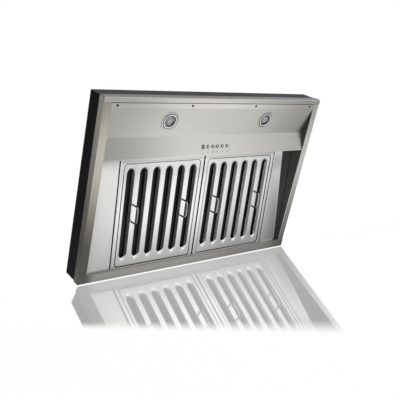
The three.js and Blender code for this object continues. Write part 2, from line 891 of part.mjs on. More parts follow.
// Forward-curved blades between two end rings and a middle plate with its hub.
function impeller() {
  const half = impellerWidth / 2;
  const inner = impellerRadius - impellerRing;
  const ringThickness = 2;
  const ring = (x) => turnToX(tube(inner, impellerRadius, x, x + ringThickness, bladeCount));
  const plate = turnToX(
    turned(
      [
        [shaftDiameter / 2 + seatGap, -6],
        [hubDiameter / 2, -6],
        [hubDiameter / 2, -1],
        [impellerRadius - 0.5, -1],
        [impellerRadius - 0.5, 1],
        [hubDiameter / 2, 1],
        [hubDiameter / 2, 6],
        [shaftDiameter / 2 + seatGap, 6],
      ],
      bladeCount,
    ),
  );
  const blades = Array.from({ length: bladeCount }, (_, i) =>
    alongX(bladeSection(), -half + 1, half - 1).rotateX(((i + 0.5) * 2 * Math.PI) / bladeCount),
  );
  return join(plate, ring(-half), ring(half - ringThickness), ...blades);
}

// A blade's section: an arc from the inner to the outer radius that leans forward at its tip.
function bladeSection() {
  const inner = impellerRadius - impellerRing + 1;
  const outer = impellerRadius - 1;
  const steps = 2;
  const lean = 14 * degrees;
  const edge = (shift) =>
    Array.from({ length: steps + 1 }, (_, i) => {
      const t = i / steps;
      const r = inner + (outer - inner) * t;
      const angle = lean * t * t;
      const across = shift * bladeSheet;
      return new THREE.Vector2(
        r * Math.cos(angle) - across * Math.sin(angle),
        r * Math.sin(angle) + across * Math.cos(angle),
      );
    });
  return new THREE.Shape([...edge(0), ...edge(1).reverse()]);
}

// The motor sits inside the left half of the impeller, on a three-armed bracket across the inlet.
function motorParts() {
  const radius = motorDiameter / 2;
  const bracketFace = -scrollWidth / 2 - 2 * seatGap - scrollSheet;
  const bracketSheet = 2;
  const rear = bracketFace + seatGap;
  const front = rear + motorLength;
  const bore = shaftDiameter / 2 + runningGap;
  const motor = turnToX(
    turned(
      [
        [bore, rear],
        [radius * 0.55, rear],
        [radius * 0.8, rear + 4],
        [radius, rear + 10],
        [radius, front - 10],
        [radius * 0.85, front - 3],
        [radius * 0.4, front],
        [bore, front],
      ],
      18,
    ),
  );
  const shaftEnd = 9;
  const shaft = turnToX(disc(shaftDiameter / 2, rear + 4, shaftEnd, 16));
  const armReach = inletRadius + armWidth;
  const arms = Array.from({ length: armCount }, (_, i) =>
    block(bracketFace - bracketSheet, bracketFace, -armWidth / 2, armWidth / 2, radius * 0.4, armReach)
      .rotateX((i * 2 * Math.PI) / armCount + Math.PI / 2),
  );
  const plate = turnToX(tube(bore + 4, radius * 0.7, bracketFace - bracketSheet, bracketFace, 22));
  return [
    piece("motor", atAxis(motor), castMotor),
    piece("motor_shaft", atAxis(shaft), chrome),
    piece("motor_bracket", atAxis(join(plate, ...arms)), galvanised),
  ];
}

function blower() {
  return [
    piece("scroll_wall", atAxis(scrollWall().translate(-scrollWidth / 2, 0, 0)), galvanised),
    ...sides.map(([side, sign]) => piece(`scroll_${side}`, atAxis(scrollSide(sign)), galvanised)),
    piece("impeller", atAxis(impeller()), galvanised),
    ...motorParts(),
  ];
}

// ---------------------------------------------------------------- blower box, collar, flaps

// A folded wrap with outturned feet, open below, and two end plates.
function blowerBox() {
  const [halfX, halfY] = [boxWidth / 2, boxDepth / 2];
  const wrap = foldedSheet(
    [
      [-halfY - boxFoot, boxFloor + boxSheet],
      [-halfY, boxFloor + boxSheet],
      [-halfY, boxTop],
      [halfY, boxTop],
      [halfY, boxFloor + boxSheet],
      [halfY + boxFoot, boxFloor + boxSheet],
    ].reverse(),
    boxSheet,
  );
  const halfScroll = scrollWidth / 2;
  const opened = cut(
    alongX(wrap, -halfX, halfX),
    block(-halfScroll, halfScroll, outletFront, outletRear, boxTop - 5, boxTop + 5),
  );
  const endInset = halfY - boxSheet - bendRadius;
  const endPath = [
    [halfX + boxFoot - boxSheet, boxFloor + boxSheet],
    [halfX - boxSheet, boxFloor + boxSheet],
    [halfX - boxSheet, boxTop - boxSheet - seatGap],
  ];
  return [
    piece("blower_box", opened, galvanised),
    ...sides.map(([side, sign]) => {
      const section = foldedSheet(mirrorPath(endPath, sign), boxSheet);
      return piece(`blower_box_end_${side}`, alongY(section, -endInset, endInset), galvanised);
    }),
  ];
}

// The round collar that the duct slides over, with the two pins of the butterfly damper across it.
function collarParts() {
  const bore = collarBore / 2;
  const pinY = flapPinSpacing / 2;
  const ring = turned(
    [
      [bore, 0],
      [bore + collarFlange, 0],
      [bore + collarFlange, collarSheet],
      [bore + collarSheet, collarSheet],
      [bore + collarSheet, collarHeight + collarSheet],
      [bore, collarHeight + collarSheet],
    ],
    28,
  ).translate(0, 0, collarFloor);
  const reach = bore + collarSheet * 0.2; // the pins end inside the collar's wall
  const onPin = (geometry, sign) => turnToX(geometry).translate(0, sign * pinY, pinZ);
  const holes = [-1, 1].map((sign) =>
    onPin(disc(flapPin / 2 + seatGap, -reach - 5, reach + 5, 12), sign),
  );
  const collar = cut(ring, ...holes).translate(0, outletY, 0);
  return [
    piece("duct_collar", collar, galvanised),
    ...[
      ["front", -1],
      ["rear", 1],
    ].flatMap(([place, sign]) => [
      piece(
        `damper_pin_${place}`,
        onPin(disc(flapPin / 2, -reach, reach, 12), sign).translate(0, outletY, 0),
        chrome,
      ),
      piece(`damper_${place}`, damperFlap(sign).translate(0, outletY, 0), galvanised),
    ]),
  ];
}

// Half a disc, curled round its pin in two knuckles. Closed, it lies on the top of the box.
function damperFlap(sign) {
  const radius = collarBore / 2 - flapClearance;
  const pinY = flapPinSpacing / 2;
  const start = Math.asin(pinY / radius);
  const outline = new THREE.Shape();
  outline.absarc(0, 0, radius, start, Math.PI - start);
  outline.closePath();
  const plate = alongZ(outline, collarFloor, collarFloor + flapSheet, 10);
  const knuckles = [-1, 1].map((end) =>
    turnToX(tube(flapPin / 2 + runningGap, knuckleRadius, -knuckleLength / 2, knuckleLength / 2, 10))
      .translate(end * radius * 0.5, pinY, pinZ),
  );
  const flap = cut(
    join(plate, ...knuckles),
    turnToX(disc(flapPin / 2 + runningGap, -radius - 5, radius + 5, 10)).translate(0, pinY, pinZ),
  );
  return sign > 0 ? flap : flap.rotateZ(Math.PI);
}

// ---------------------------------------------------------------- terminal box

// An open-topped steel box for the supply connection, with a lid and a bare cable gland. It stands
// midway between the blower box and the end of the casing.
function terminalParts() {
  const middle = (boxWidth / 2 + boxFoot + casingX) / 2;
  const [x0, x1] = [middle - terminalBreadth / 2, middle + terminalBreadth / 2];
  const [y0, y1] = [-terminalLength / 2, terminalLength / 2];
  const [z0, z1] = [casingTop + seatGap, casingTop + seatGap + terminalHeight];
  const wall = terminalWall;
  const gland = [(x0 + x1) / 2, y1 - wall / 2, (z0 + z1) / 2];
  const boxed = cut(
    block(x0, x1, y0, y1, z0, z1),
    block(x0 + wall, x1 - wall, y0 + wall, y1 - wall, z0 + wall, z1 + 1),
    disc(glandBore / 2 + 2 + seatGap, -5, 5, 14).rotateX(Math.PI / 2).translate(...gland),
  );
  const lidFloor = z1 + seatGap;
  const turnDown = 8;
  const [reach, skirt] = [seatGap + wall, lidFloor - turnDown];
  const lid = cut(
    block(x0 - reach, x1 + reach, y0 - reach, y1 + reach, skirt, lidFloor + wall),
    block(x0 - seatGap, x1 + seatGap, y0 - seatGap, y1 + seatGap, skirt - 1, lidFloor),
  );
  const [bore, neck] = [glandBore / 2, glandBore / 2 + 2];
  const glandRing = turned(
    [
      [bore, -6],
      [neck + 2.5, -6],
      [neck + 2.5, -wall / 2 - seatGap],
      [neck, -wall / 2 - seatGap],
      [neck, wall / 2 + seatGap],
      [neck + 2.5, wall / 2 + seatGap],
      [neck + 2.5, 4],
      [bore, 4],
    ],
    14,
  );
  return [
    piece("terminal_box", boxed, galvanised),
    piece("terminal_lid", lid, galvanised),
    piece("cable_gland", glandRing.rotateX(Math.PI / 2).translate(...gland), blackPlastic),
  ];
}

// ---------------------------------------------------------------- the whole insert

deck.add(filterRail(), ...sidePanels(), ...sides.map(([side, sign]) => filter(side, sign)));

const insert = new THREE.Group();
insert.add(
  ...casing(),
  ...rim(),
  ...frontPanel(),
  ...sides.flatMap(([side, sign]) => lamp(side, sign)),
  ...controls(),
  rearLedge(),
  deck,
  ...blower(),
  ...blowerBox(),
  ...collarParts(),
  ...terminalParts(),
);

export default insert;
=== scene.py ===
import json
import math

import bmesh
import bpy
import numpy as np
from mathutils import Matrix, Vector


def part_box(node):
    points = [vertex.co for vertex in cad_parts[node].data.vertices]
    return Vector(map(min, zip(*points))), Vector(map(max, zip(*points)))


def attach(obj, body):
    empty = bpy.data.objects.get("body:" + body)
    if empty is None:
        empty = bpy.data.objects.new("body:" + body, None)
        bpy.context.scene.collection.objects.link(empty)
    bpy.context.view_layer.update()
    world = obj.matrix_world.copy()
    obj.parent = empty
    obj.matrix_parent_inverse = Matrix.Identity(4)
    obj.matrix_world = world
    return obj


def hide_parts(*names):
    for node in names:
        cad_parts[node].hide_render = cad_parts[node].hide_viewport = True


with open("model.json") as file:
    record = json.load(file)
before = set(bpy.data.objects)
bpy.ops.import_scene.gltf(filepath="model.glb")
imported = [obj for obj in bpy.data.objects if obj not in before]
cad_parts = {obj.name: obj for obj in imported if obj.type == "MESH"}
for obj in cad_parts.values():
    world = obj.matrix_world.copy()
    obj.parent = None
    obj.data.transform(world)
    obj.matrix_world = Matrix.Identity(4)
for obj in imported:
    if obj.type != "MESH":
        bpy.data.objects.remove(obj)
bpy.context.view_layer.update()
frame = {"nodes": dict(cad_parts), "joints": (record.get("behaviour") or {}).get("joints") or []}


# ------------------ camera
# The photograph looks up at the underside from the front and the left. The place and the three
# directions are in the insert's own frame, so that the picture's upper edge is the front edge.

camera_place = Vector((-1.3233, -0.6929, -1.3953))
picture_right = Vector((0.76782, -0.19410, -0.61055))
picture_down = Vector((-0.08947, 0.91117, -0.40219))
sight = Vector((0.63438, 0.36344, 0.68225))

scene = bpy.context.scene
camera_data = bpy.data.cameras.new("camera")
camera_data.sensor_width = 36
camera_data.lens = 57.08
camera = bpy.data.objects.new("camera", camera_data)
scene.collection.objects.link(camera)
axes = Matrix((picture_right, -picture_down, -sight)).transposed().to_4x4()
camera.matrix_world = Matrix.Translation(camera_place) @ axes
scene.camera = camera
scene.view_settings.view_transform = "Standard"


# ------------------ floor and light
# The insert stands on its rear lower edge and leans over a pale floor, which shows a faint mirror
# image of it. The floor shows from above only, so that it hides nothing from other sides.

MM = 0.001


class Signal:
    """A socket that takes part in arithmetic on values. Each operation adds one Math node."""

    def __init__(self, finish, socket):
        self.finish, self.socket = finish, socket

    def math(self, operation, first, second=0.0):
        return self.finish.node("ShaderNodeMath", {"operation": operation}, {0: first, 1: second})

    def __add__(self, other):
        return self.math("ADD", self, other)

    __radd__ = __add__

    def __sub__(self, other):
        return self.math("SUBTRACT", self, other)

    def __rsub__(self, other):
        return self.math("SUBTRACT", other, self)

    def __mul__(self, other):
        return self.math("MULTIPLY", self, other)

    __rmul__ = __mul__

    def __abs__(self):
        return self.math("ABSOLUTE", self)

    def hypot(self, other):
        """The length of two steps at right angles, sqrt(a^2 + b^2)."""
        return self.math("SQRT", self * self + other * other)

    def larger(self, other):
        return self.math("MAXIMUM", self, other)

    def smaller(self, other):
        return self.math("MINIMUM", self, other)

    def pingpong(self, span):
        """The distance to the nearest even multiple of span."""
        return self.math("PINGPONG", self, span)

    def above(self, low, high):
        """0 up to low, 1 from high, and smooth between them."""
        return self.finish.node(
            "ShaderNodeMapRange",
            {"interpolation_type": "SMOOTHSTEP"},
            {"Value": self, "From Min": low, "From Max": high},
        )

    def between(self, low, full, fading, high):
        """0 outside low and high, 1 from full to fading, and smooth between them."""
        return self.above(low, full) * (1.0 - self.above(fading, high))


class Finish:
    """A material with its Principled shader. Constants go on the shader's own sockets, node() is
    the one way to add a node, and feed() links what varies."""

    def __init__(self, name, **constants):
        self.material = bpy.data.materials.new(name)
        self.material.use_nodes = True
        self.tree = self.material.node_tree
        self.tree.nodes.clear()
        self.shader = self.tree.nodes.new("ShaderNodeBsdfPrincipled")
        self.output = self.tree.nodes.new("ShaderNodeOutputMaterial")
        self.tree.links.new(self.shader.outputs[0], self.output.inputs["Surface"])
        for socket, value in constants.items():
            self.shader.inputs[socket.replace("_", " ")].default_value = value

    def node(self, kind, settings=None, inputs=None, output=0):
        made = self.tree.nodes.new(kind)
        for key, value in (settings or {}).items():
            setattr(made, key, value)
        for key, value in (inputs or {}).items():
            if isinstance(value, Signal):
                self.tree.links.new(value.socket, made.inputs[key])
            else:
                made.inputs[key].default_value = value
        return Signal(self, made.outputs[output])

    def place(self, cells):
        """Object coordinates times a number, or times one for each axis."""
        here = self.node("ShaderNodeTexCoord", output="Object")
        scale = np.broadcast_to(cells, 3).tolist()
        return self.node("ShaderNodeMapping", inputs={"Vector": here, "Scale": scale})

    def noise(self, cells, detail, roughness):
        """Noise from 0 to 1 with so many cells in a metre, the same or not along each axis."""
        inputs = {"Vector": self.place(cells), "Scale": 1.0, "Detail": detail}
        return self.node("ShaderNodeTexNoise", inputs={**inputs, "Roughness": roughness})

    def here(self, kind="Object"):
        """The three Object coordinates as values, or those of another kind."""
        inputs = {"Vector": self.node("ShaderNodeTexCoord", output=kind)}
        return [self.node("ShaderNodeSeparateXYZ", None, inputs, axis) for axis in "XYZ"]

    def rays(self):
        """1 where the camera looks, and 1 where metal or glass does."""
        camera, glossy, clear = (
            self.node("ShaderNodeLightPath", output=f"Is {kind} Ray")
            for kind in ("Camera", "Glossy", "Transmission")
        )
        return camera, glossy + clear

    def blend(self, share, first, second):
        """A colour between two, by a share from 0 to 1."""
        settings = {"data_type": "RGBA"}
        return self.node("ShaderNodeMix", settings, {0: share, 6: first, 7: second}, output=2)

    def bump(self, height, depth, strength=1.0):
        """The normal of a surface whose height runs from 0 to depth metres."""
        inputs = {"Height": height, "Distance": depth, "Strength": strength}
        return self.node("ShaderNodeBump", inputs=inputs)

    def feed(self, **signals):
        for socket, signal in signals.items():
            self.tree.links.new(signal.socket, self.shader.inputs[socket.replace("_", " ")])
        return self.material


def grey(level, red=0, green=0, blue=0):
    """A linear colour from a screen level of 0 to 255, with a shift for each channel, by the
    screen's curve: ((s + 0.055) / 1.055)^2.4, or s / 12.92 where it is darkest."""
    screen = np.array([level + red, level + green, level + blue]) / 255
    linear = np.where(screen <= 0.04045, screen / 12.92, ((screen + 0.055) / 1.055) ** 2.4)
    return (*linear.tolist(), 1.0)


rim_low, rim_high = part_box("rim_rear")
floor_tilt = math.radians(56)
floor_gap = 1.2 * MM
floor_line = Vector((0, rim_high.y + floor_gap, rim_low.z))
floor_rise = Vector((0, math.cos(floor_tilt), math.sin(floor_tilt)))
floor_up = Vector((0, -math.sin(floor_tilt), math.cos(floor_tilt)))
floor_half = 9.0

floor_mesh = bpy.data.meshes.new("floor")
floor_corners = [
    floor_line + Vector((x * floor_half, 0, 0)) + floor_rise * (y * floor_half)
    for x, y in ((-1, -1), (1, -1), (1, 1), (-1, 1))
]
floor_mesh.from_pydata([tuple(c) for c in floor_corners], [], [(0, 1, 2, 3)])
floor = bpy.data.objects.new("floor", floor_mesh)
scene.collection.objects.link(floor)

floor_finish = Finish("floor", Base_Color=grey(242), Roughness=0.6, Specular_IOR_Level=0.2)
camera_ray, metal_ray = floor_finish.rays()
pure_white = (1, 1, 1, 1)
white = floor_finish.node("ShaderNodeEmission", inputs={"Color": pure_white, "Strength": 1.0})
dark = floor_finish.node("ShaderNodeEmission", inputs={"Strength": 0.0})
polish = {"Color": pure_white, "Roughness": 0.03}
mirror = floor_finish.node("ShaderNodeBsdfGlossy", inputs=polish)
clear = floor_finish.node("ShaderNodeBsdfTransparent")
painted = Signal(floor_finish, floor_finish.shader.outputs[0])
floor_x, floor_y, _ = floor_finish.here()

# What the metal mirrors of the floor, in metres. reach runs along the floor towards the camera
# from the line under the insert, and off_band across it from the line that the filters mirror.
band_slope, band_shift = 0.71, 0.05
reach = (floor_line.y - floor_y) * (1 / math.cos(floor_tilt))
off_band = floor_x - reach * band_slope + band_shift
to_left = off_band * -1.0
far = reach.above(0.22, 0.55)
left_fall = to_left.above(0.1, 0.35) * 0.07 * (1.0 - far) + to_left.above(0.1, 0.42) * 0.55 * far
late = reach.above(0.49, 0.58)
right_fall = off_band.above(0.02, 0.3) * 0.28 + off_band.above(0.36, 0.5) * 0.42
right_fall *= (1.0 - reach.above(0.15, 0.42) * 0.65) * (1.0 - late)
right_fall = right_fall + off_band.above(0.08, 0.6) * 0.66 * late
middle_glow = (1.0 - left_fall) * (1.0 - right_fall) * (reach.above(-0.05, 0.24) * 0.67 + 0.33)
middle_glow *= 1.0 - reach.between(0.36, 0.42, 0.44, 0.5) * 0.27
left_glow = reach.above(0.1, 0.45) * 0.73 + 0.14
left_zone = to_left.above(0.33, 0.365) * (1.0 - reach.above(0.54, 0.65))
glow = middle_glow * (1.0 - left_zone) + left_glow * left_zone
seen_share = 1.0 - reach.above(-0.5, -0.05) * 0.03
white_share = camera_ray * seen_share + metal_ray * glow
plain = floor_finish.node("ShaderNodeMixShader", inputs={0: metal_ray, 1: painted, 2: dark})
lit = floor_finish.node("ShaderNodeMixShader", inputs={0: white_share, 1: plain, 2: white})

# The mirror image that the camera sees. It ends at a line across the picture, and fades to both
# sides of the strip of floor in which the insert shows.
mirror_share, end_slope, strip_slope = 0.6, 0.12, 0.8
gloss_share = camera_ray * mirror_share * reach.above(-0.01, 0.0)
gloss_share *= (floor_x + reach * end_slope).above(-0.98, -0.953)
gloss_share *= 1.0 - abs(floor_x + reach * strip_slope).above(0.55, 0.9)
wet = floor_finish.node("ShaderNodeMixShader", inputs={0: gloss_share, 1: lit, 2: mirror})
under = floor_finish.node("ShaderNodeNewGeometry", output="Backfacing")
one_sided = floor_finish.node("ShaderNodeMixShader", inputs={0: under, 1: wet, 2: clear})
floor_finish.tree.links.new(one_sided.socket, floor_finish.output.inputs["Surface"])
floor_mesh.materials.append(floor_finish.material)

world = bpy.data.worlds.new("studio")
world.use_nodes = True
scene.world = world


class Room(Finish):
    """The world's own node tree, built with the same calls as a material."""

    def __init__(self, shown):
        self.tree = shown.node_tree
        self.tree.nodes.clear()
        self.output = self.tree.nodes.new("ShaderNodeOutputWorld")


room = Room(world)
camera_ray, metal_ray = room.rays()
across, along, above_rim = room.here("Generated")

# Metal sees a room that fades upwards, apart from a bright patch at the far side.
patch_x, patch_y, patch_z = 0.63, 0.5, 0.59
studio_fade = 1.0 - above_rim.above(-0.3, 0.5) * (0.92 - across.above(-0.6, 0.6) * 0.34)
patch = (across * patch_x + along * patch_y + above_rim * patch_z).above(0.8, 0.92)
studio_fade = studio_fade + (1.0 - studio_fade) * patch
room_light = 0.2
strength = camera_ray + metal_ray * studio_fade
strength = strength + (1.0 - (camera_ray + metal_ray).above(0.0, 0.5)) * room_light
sky = room.node("ShaderNodeBackground", inputs={"Color": pure_white, "Strength": strength})
room.tree.links.new(sky.socket, room.output.inputs["Surface"])


insert_middle = Vector((0, 0, 0.02))


def soft_light(name, place, power, size):
    """A square lamp aimed at the insert. It lights paint but shows in no metal."""
    data = bpy.data.lights.new(name, "AREA")
    data.energy = power
    data.size = size
    light = bpy.data.objects.new(name, data)
    scene.collection.objects.link(light)
    light.location = place
    light.rotation_euler = (insert_middle - place).to_track_quat("-Z", "Y").to_euler()
    light.visible_glossy = False


soft_light("rear", Vector((0.2, 1.25, 1.75)), 30, 1.0)
soft_light("overhead", insert_middle + floor_up * 1.7 - picture_right * 0.3, 26, 1.2)
soft_light("fill", camera_place - picture_down * 0.6 + picture_right, 34, 1.4)


# ------------------ rim
# Stainless trim, folded up round the casing and left with its long grain. Small rivets go
# through its lip, painted brighter than it as a painted highlight, and each band is brushed
# along its own length.


def brushed_steel(
    name, colour, grain, roughness, streaks=0.5, haze=0.06, marks=(), metal=1.0, dull=None
):
    """Stainless with a grain along one axis: fine streaks across it in colour, gloss and
    height, and a slow haze of handling over the sheet. grain is 0, 1 or 2 for X, Y or Z.
    Each of marks gives a share over the surface and the colour that shows there, and dull a
    share where the sheet is left matt."""
    finish = Finish(name, Metallic=metal)
    fine, broad = [1400.0] * 3, [260.0] * 3
    fine[grain], broad[grain] = 6.0, 2.0
    streak = finish.noise(fine, 4.0, 0.6)
    band = finish.noise(broad, 3.0, 0.55)
    cloud = finish.noise(5.0, 3.0, 0.5)
    mixed = streak * 0.6 + band * 0.4
    low = tuple(c * (1 - 0.13 * streaks) for c in colour[:3]) + (1.0,)
    high = tuple(min(1.0, c * (1 + 0.09 * streaks)) for c in colour[:3]) + (1.0,)
    worn = finish.blend(mixed.above(0.25, 0.75), low, high)
    hazed = finish.blend(cloud.above(0.35, 0.8) * haze, worn, grey(225))
    gloss = (mixed - 0.5) * 0.16 * streaks + (cloud - 0.5) * haze + roughness
    for mark in marks:
        share, mark_colour = mark(finish)
        hazed = finish.blend(share, hazed, mark_colour)
    if dull:
        finish.feed(Metallic=1.0 - dull(finish))
    return finish.feed(
        Base_Color=hazed,
        Roughness=gloss,
        Normal=finish.bump(streak, 0.000004, 0.35 * streaks),
    )


def dress(material, *names):
    """Gives CAD nodes their finish."""
    for name in names:
        slots = frame["nodes"][name].data.materials
        slots.clear()
        slots.append(material)


rivet_height = 18.0 * MM
rivet_radius = 2.3 * MM
rivet_pitch_across = 194.0 * MM
rivet_pitch_along = 121.5 * MM
lip_x, lip_y = 436.5 * MM, 287.5 * MM


def rivets(axis, pitch):
    """Marks for rivets filed flush with the lip, painted bright as a painted highlight: the
    distance to the nearest of a row at equal pitch is the pingpong of the coordinate over half
    the pitch."""

    def marks(finish):
        here = finish.here()
        off_rivet = here[axis].pingpong(pitch / 2)
        distance = (here[2] - rivet_height).hypot(off_rivet)
        return 1.0 - distance.above(rivet_radius * 0.8, rivet_radius), grey(250)

    return marks


def lip_painted_reflection(finish):
    """Painted reflection on the front lip's outer face: a blue tint for the room's far side
    mirrored in it.
    """
    out = finish.here()[1] * -1.0
    return out.above(lip_y - 1.0 * MM, lip_y - 0.5 * MM) * 0.45, grey(130, -4, 6, 18)


rim_across = brushed_steel(
    "rim_front_and_rear", grey(222, 0, -3, -10), 0, 0.3, 1.0,
    marks=(lip_painted_reflection, rivets(0, rivet_pitch_across)),
)


def matt_lip(finish):
    """The left lip's outer face, matt towards the front."""
    x, y, z = finish.here()
    outer_face = (x * -1.0).above(lip_x - 1.0 * MM, lip_x - 0.5 * MM)
    return outer_face * (1.0 - y.above(-0.25, 0.2)) * 0.7


# The left band's base tone is painted darker and the right band's lighter than the front and rear
# bands: painted shade and painted light on the one stainless trim.
rim_left = brushed_steel(
    "rim_left", grey(206, 1, -3, -15), 1, 0.25, 1.0,
    marks=(rivets(1, rivet_pitch_along),), dull=matt_lip,
)
rim_right = brushed_steel(
    "rim_right", grey(240, 0, -2, -7), 1, 0.3, 1.0, marks=(rivets(1, rivet_pitch_along),)
)
# The rear ledge's base tone is painted darker than the rim's: painted shade.
ledge_steel = brushed_steel("ledge_steel", grey(168, 0, -2, -5), 0, 0.3, 0.8)
dress(rim_across, "rim_front", "rim_rear")
dress(rim_left, "rim_left")
dress(rim_right, "rim_right")
dress(ledge_steel, "rear_ledge")


def grid_faces(rows, columns, wrap_rows, wrap_columns):
    """The quads of a grid of points, closed on itself where it wraps: (r, c), (r + 1, c),
    (r + 1, c + 1), (r, c + 1)."""
    r, c = np.meshgrid(
        np.arange(rows if wrap_rows else rows - 1),
        np.arange(columns if wrap_columns else columns - 1),
        indexing="ij",
    )
    r2, c2 = (r + 1) % rows, (c + 1) % columns
    corners = [r * columns + c, r2 * columns + c, r2 * columns + c2, r * columns + c2]
    return np.stack(corners, -1).reshape(-1, 4)


def make_piece(name, points, faces, material, body, sharp=30.0, weld=1e-6, second=None):
    """A mesh object on a CAD body: doubles merged, faces turned out, and shaded smooth except
    over edges sharper than the angle in degrees. second is another material and its faces."""
    mesh = bpy.data.meshes.new(name)
    mesh.from_pydata(np.asarray(points).reshape(-1, 3).tolist(), [], faces.tolist())
    mesh.materials.append(material)
    if second:
        mesh.materials.append(second[0])
        mesh.polygons.foreach_set("material_index", np.asarray(second[1], np.int32))
    shape = bmesh.new()
    shape.from_mesh(mesh)
    bmesh.ops.remove_doubles(shape, verts=shape.verts, dist=weld)
    bmesh.ops.dissolve_degenerate(shape, dist=weld, edges=shape.edges)
    bmesh.ops.recalc_face_normals(shape, faces=shape.faces)
    shape.to_mesh(mesh)
    shape.free()
    mesh.shade_smooth()
    mesh.set_sharp_from_angle(angle=math.radians(sharp))
    made = bpy.data.objects.new(name, mesh)
    scene.collection.objects.link(made)
    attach(made, body)
    return made


def turned(profile, sides):
    """Points of a profile of (radius, height) turned about Z: x = r cos a, y = r sin a."""
    r, h = np.asarray(profile, float).T
    angle = np.linspace(0, 2 * np.pi, sides, endpoint=False)[:, None]
    points = np.stack([r * np.cos(angle), r * np.sin(angle), h + 0 * angle], -1)
    return points, grid_faces(sides, len(r), True, False)


def copies(points, faces, places):
    """One shape repeated, p' = M p for each M of places, a list of 4 x 4 matrices."""
    flat = points.reshape(-1, 3)
    whole = np.concatenate([flat @ np.array(m)[:3, :3].T + np.array(m)[:3, 3] for m in places])
    shifted = np.concatenate([faces + k * len(flat) for k in range(len(places))])
    return whole, shifted


def rounded(corner_points, bend, steps=5):
    """A polyline with its inner corners rounded: each corner becomes a curve between the points
    at a distance bend before and after it, p = (1-t)^2 a + 2t(1-t) b + t^2 c."""
    p = np.asarray(corner_points, float)
    t = np.linspace(0, 1, steps)[:, None]
    parts = [p[:1]]
    for before, here, after in zip(p[:-2], p[1:-1], p[2:]):
        a = here + (before - here) * min(0.45, bend / np.linalg.norm(before - here))
        c = here + (after - here) * min(0.45, bend / np.linalg.norm(after - here))
        parts.append((1 - t) ** 2 * a + 2 * t * (1 - t) * here + t**2 * c)
    return np.concatenate(parts + [p[-1:]])


# ------------------ casing
# Sheet steel with a black powder coat: a fine orange peel that catches the light softly, and a
# little dust. The inner faces of the two side walls are a lighter grey and show beside the
# filters.

wall_middle = 420.0 * MM


def powder_coat(name, colour, roughness, inner_face_tint=0.0):
    """Black paint with orange peel a tenth of a millimetre deep and a dusty haze. The last
    argument is the share of a lighter grey on the inner face of a side wall, where |x| is less
    than at the wall's middle."""
    finish = Finish(name, Specular_IOR_Level=0.42)
    peel = finish.noise(700.0, 2.0, 0.5)
    dust = finish.noise(14.0, 5.0, 0.6)
    dusty = dust.above(0.45, 0.8) * 0.12
    inner = 1.0 - abs(finish.here()[0]).above(wall_middle - 5.0 * MM, wall_middle + 5.0 * MM)
    tone = finish.blend(dusty + inner * inner_face_tint, colour, grey(56, 0, 0, -6))
    return finish.feed(
        Base_Color=tone,
        Roughness=dusty * 1.2 + (peel - 0.5) * 0.1 + roughness,
        Normal=finish.bump(peel, 0.00012, 0.5),
    )


black_paint = powder_coat("black_paint", grey(9, 0, 2, 1), 0.4)
wall_paint = powder_coat("wall_paint", grey(7, 0, 2, 1), 0.4, 0.7)
dress(black_paint, "casing_front", "casing_rear", "casing_top")
dress(wall_paint, "casing_left", "casing_right")


# ------------------ front panel and deck
# One folded sheet of satin stainless carries the lamps and buttons. Behind it the flat side
# panels lie flush with the filters, and mirror the black wall beside them.

front_crease = -255.1 * MM
middle_crease = -163.1 * MM
crease_blur = 1.4 * MM
facet_rise, lamp_run, control_run = 20.0, 92.0, 62.5


def panel_shade(finish):
    """The ends of the three facets, which the room lights less than their middles. Each facet
    has shares of its own for its left and right end."""
    x, y, z = finish.here()
    creases = front_crease, middle_crease
    behind_front, on_controls = (y.above(c - crease_blur, c + crease_blur) for c in creases)
    on_facet = behind_front * (1.0 - on_controls)
    to_side = (x * -1.0).above(0.12, 0.46)
    lamps_share = (to_side * 0.4 + x.above(0.1, 0.45) * 0.4 + 0.17) * on_facet
    on_flange = 1.0 - on_facet - on_controls
    others_share = to_side * (on_controls * 0.44 + on_flange * 0.2)
    others_share = others_share + x.above(0.1, 0.4) * on_flange * 0.3
    return lamps_share + others_share, grey(130, 0, -1, -4)


def side_shade(finish):
    """Painted shade on the right panel's front end, which is made a little darker."""
    return (1.0 - finish.here()[1].above(-0.02, 0.12)) * 0.2, grey(104, 0, -1, -1)


def rear_shade(finish):
    """Painted shade on the left panel's rear end, which is made a little darker."""
    return finish.here()[1].above(0.06, 0.26) * 0.2, grey(104, 0, -1, -3)


panel_steel = brushed_steel(
    "panel_steel", grey(236, 1, -1, -6), 0, 0.36, 0.5, 0.05, marks=(panel_shade,)
)
side_left_steel = brushed_steel(
    "side_left_steel", grey(244, 0, -1, -4), 1, 0.25, 0.25, 0.03, marks=(rear_shade,), metal=0.2
)
side_right_steel = brushed_steel(
    "side_right_steel", grey(250, 0, -1, -3), 1, 0.06, 0.2, 0.03, marks=(side_shade,)
)
dress(panel_steel, "front_panel", "filter_rail")
dress(side_left_steel, "side_panel_left")
dress(side_right_steel, "side_panel_right")


def grained(name, cells, detail, ridge, tones, gloss, relief=None, **constants):
    """A material with one grain of so many cells in a metre. Its colour lies between two tones,
    gloss is the roughness at no grain and its rise, and relief a height in metres and a
    strength."""
    finish = Finish(name, **constants)
    grain = finish.noise(cells, detail, ridge)
    if relief:
        finish.feed(Normal=finish.bump(grain, *relief))
    return finish.feed(
        Base_Color=finish.blend(grain, *tones), Roughness=grain * gloss[1] + gloss[0]
    )


black_moulding = grained(
    "black_moulding", 1100.0, 3.0, 0.6, (grey(22), grey(34)), (0.45, 0.15), (0.05 * MM, 0.6),
    Specular_IOR_Level=0.4,
)
dress(black_moulding, "switch_box", "cable_gland")

seam_shadow_width = 2.0 * MM
seam_shadow_rise = 0.9 * MM
panel_low, panel_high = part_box("front_panel")


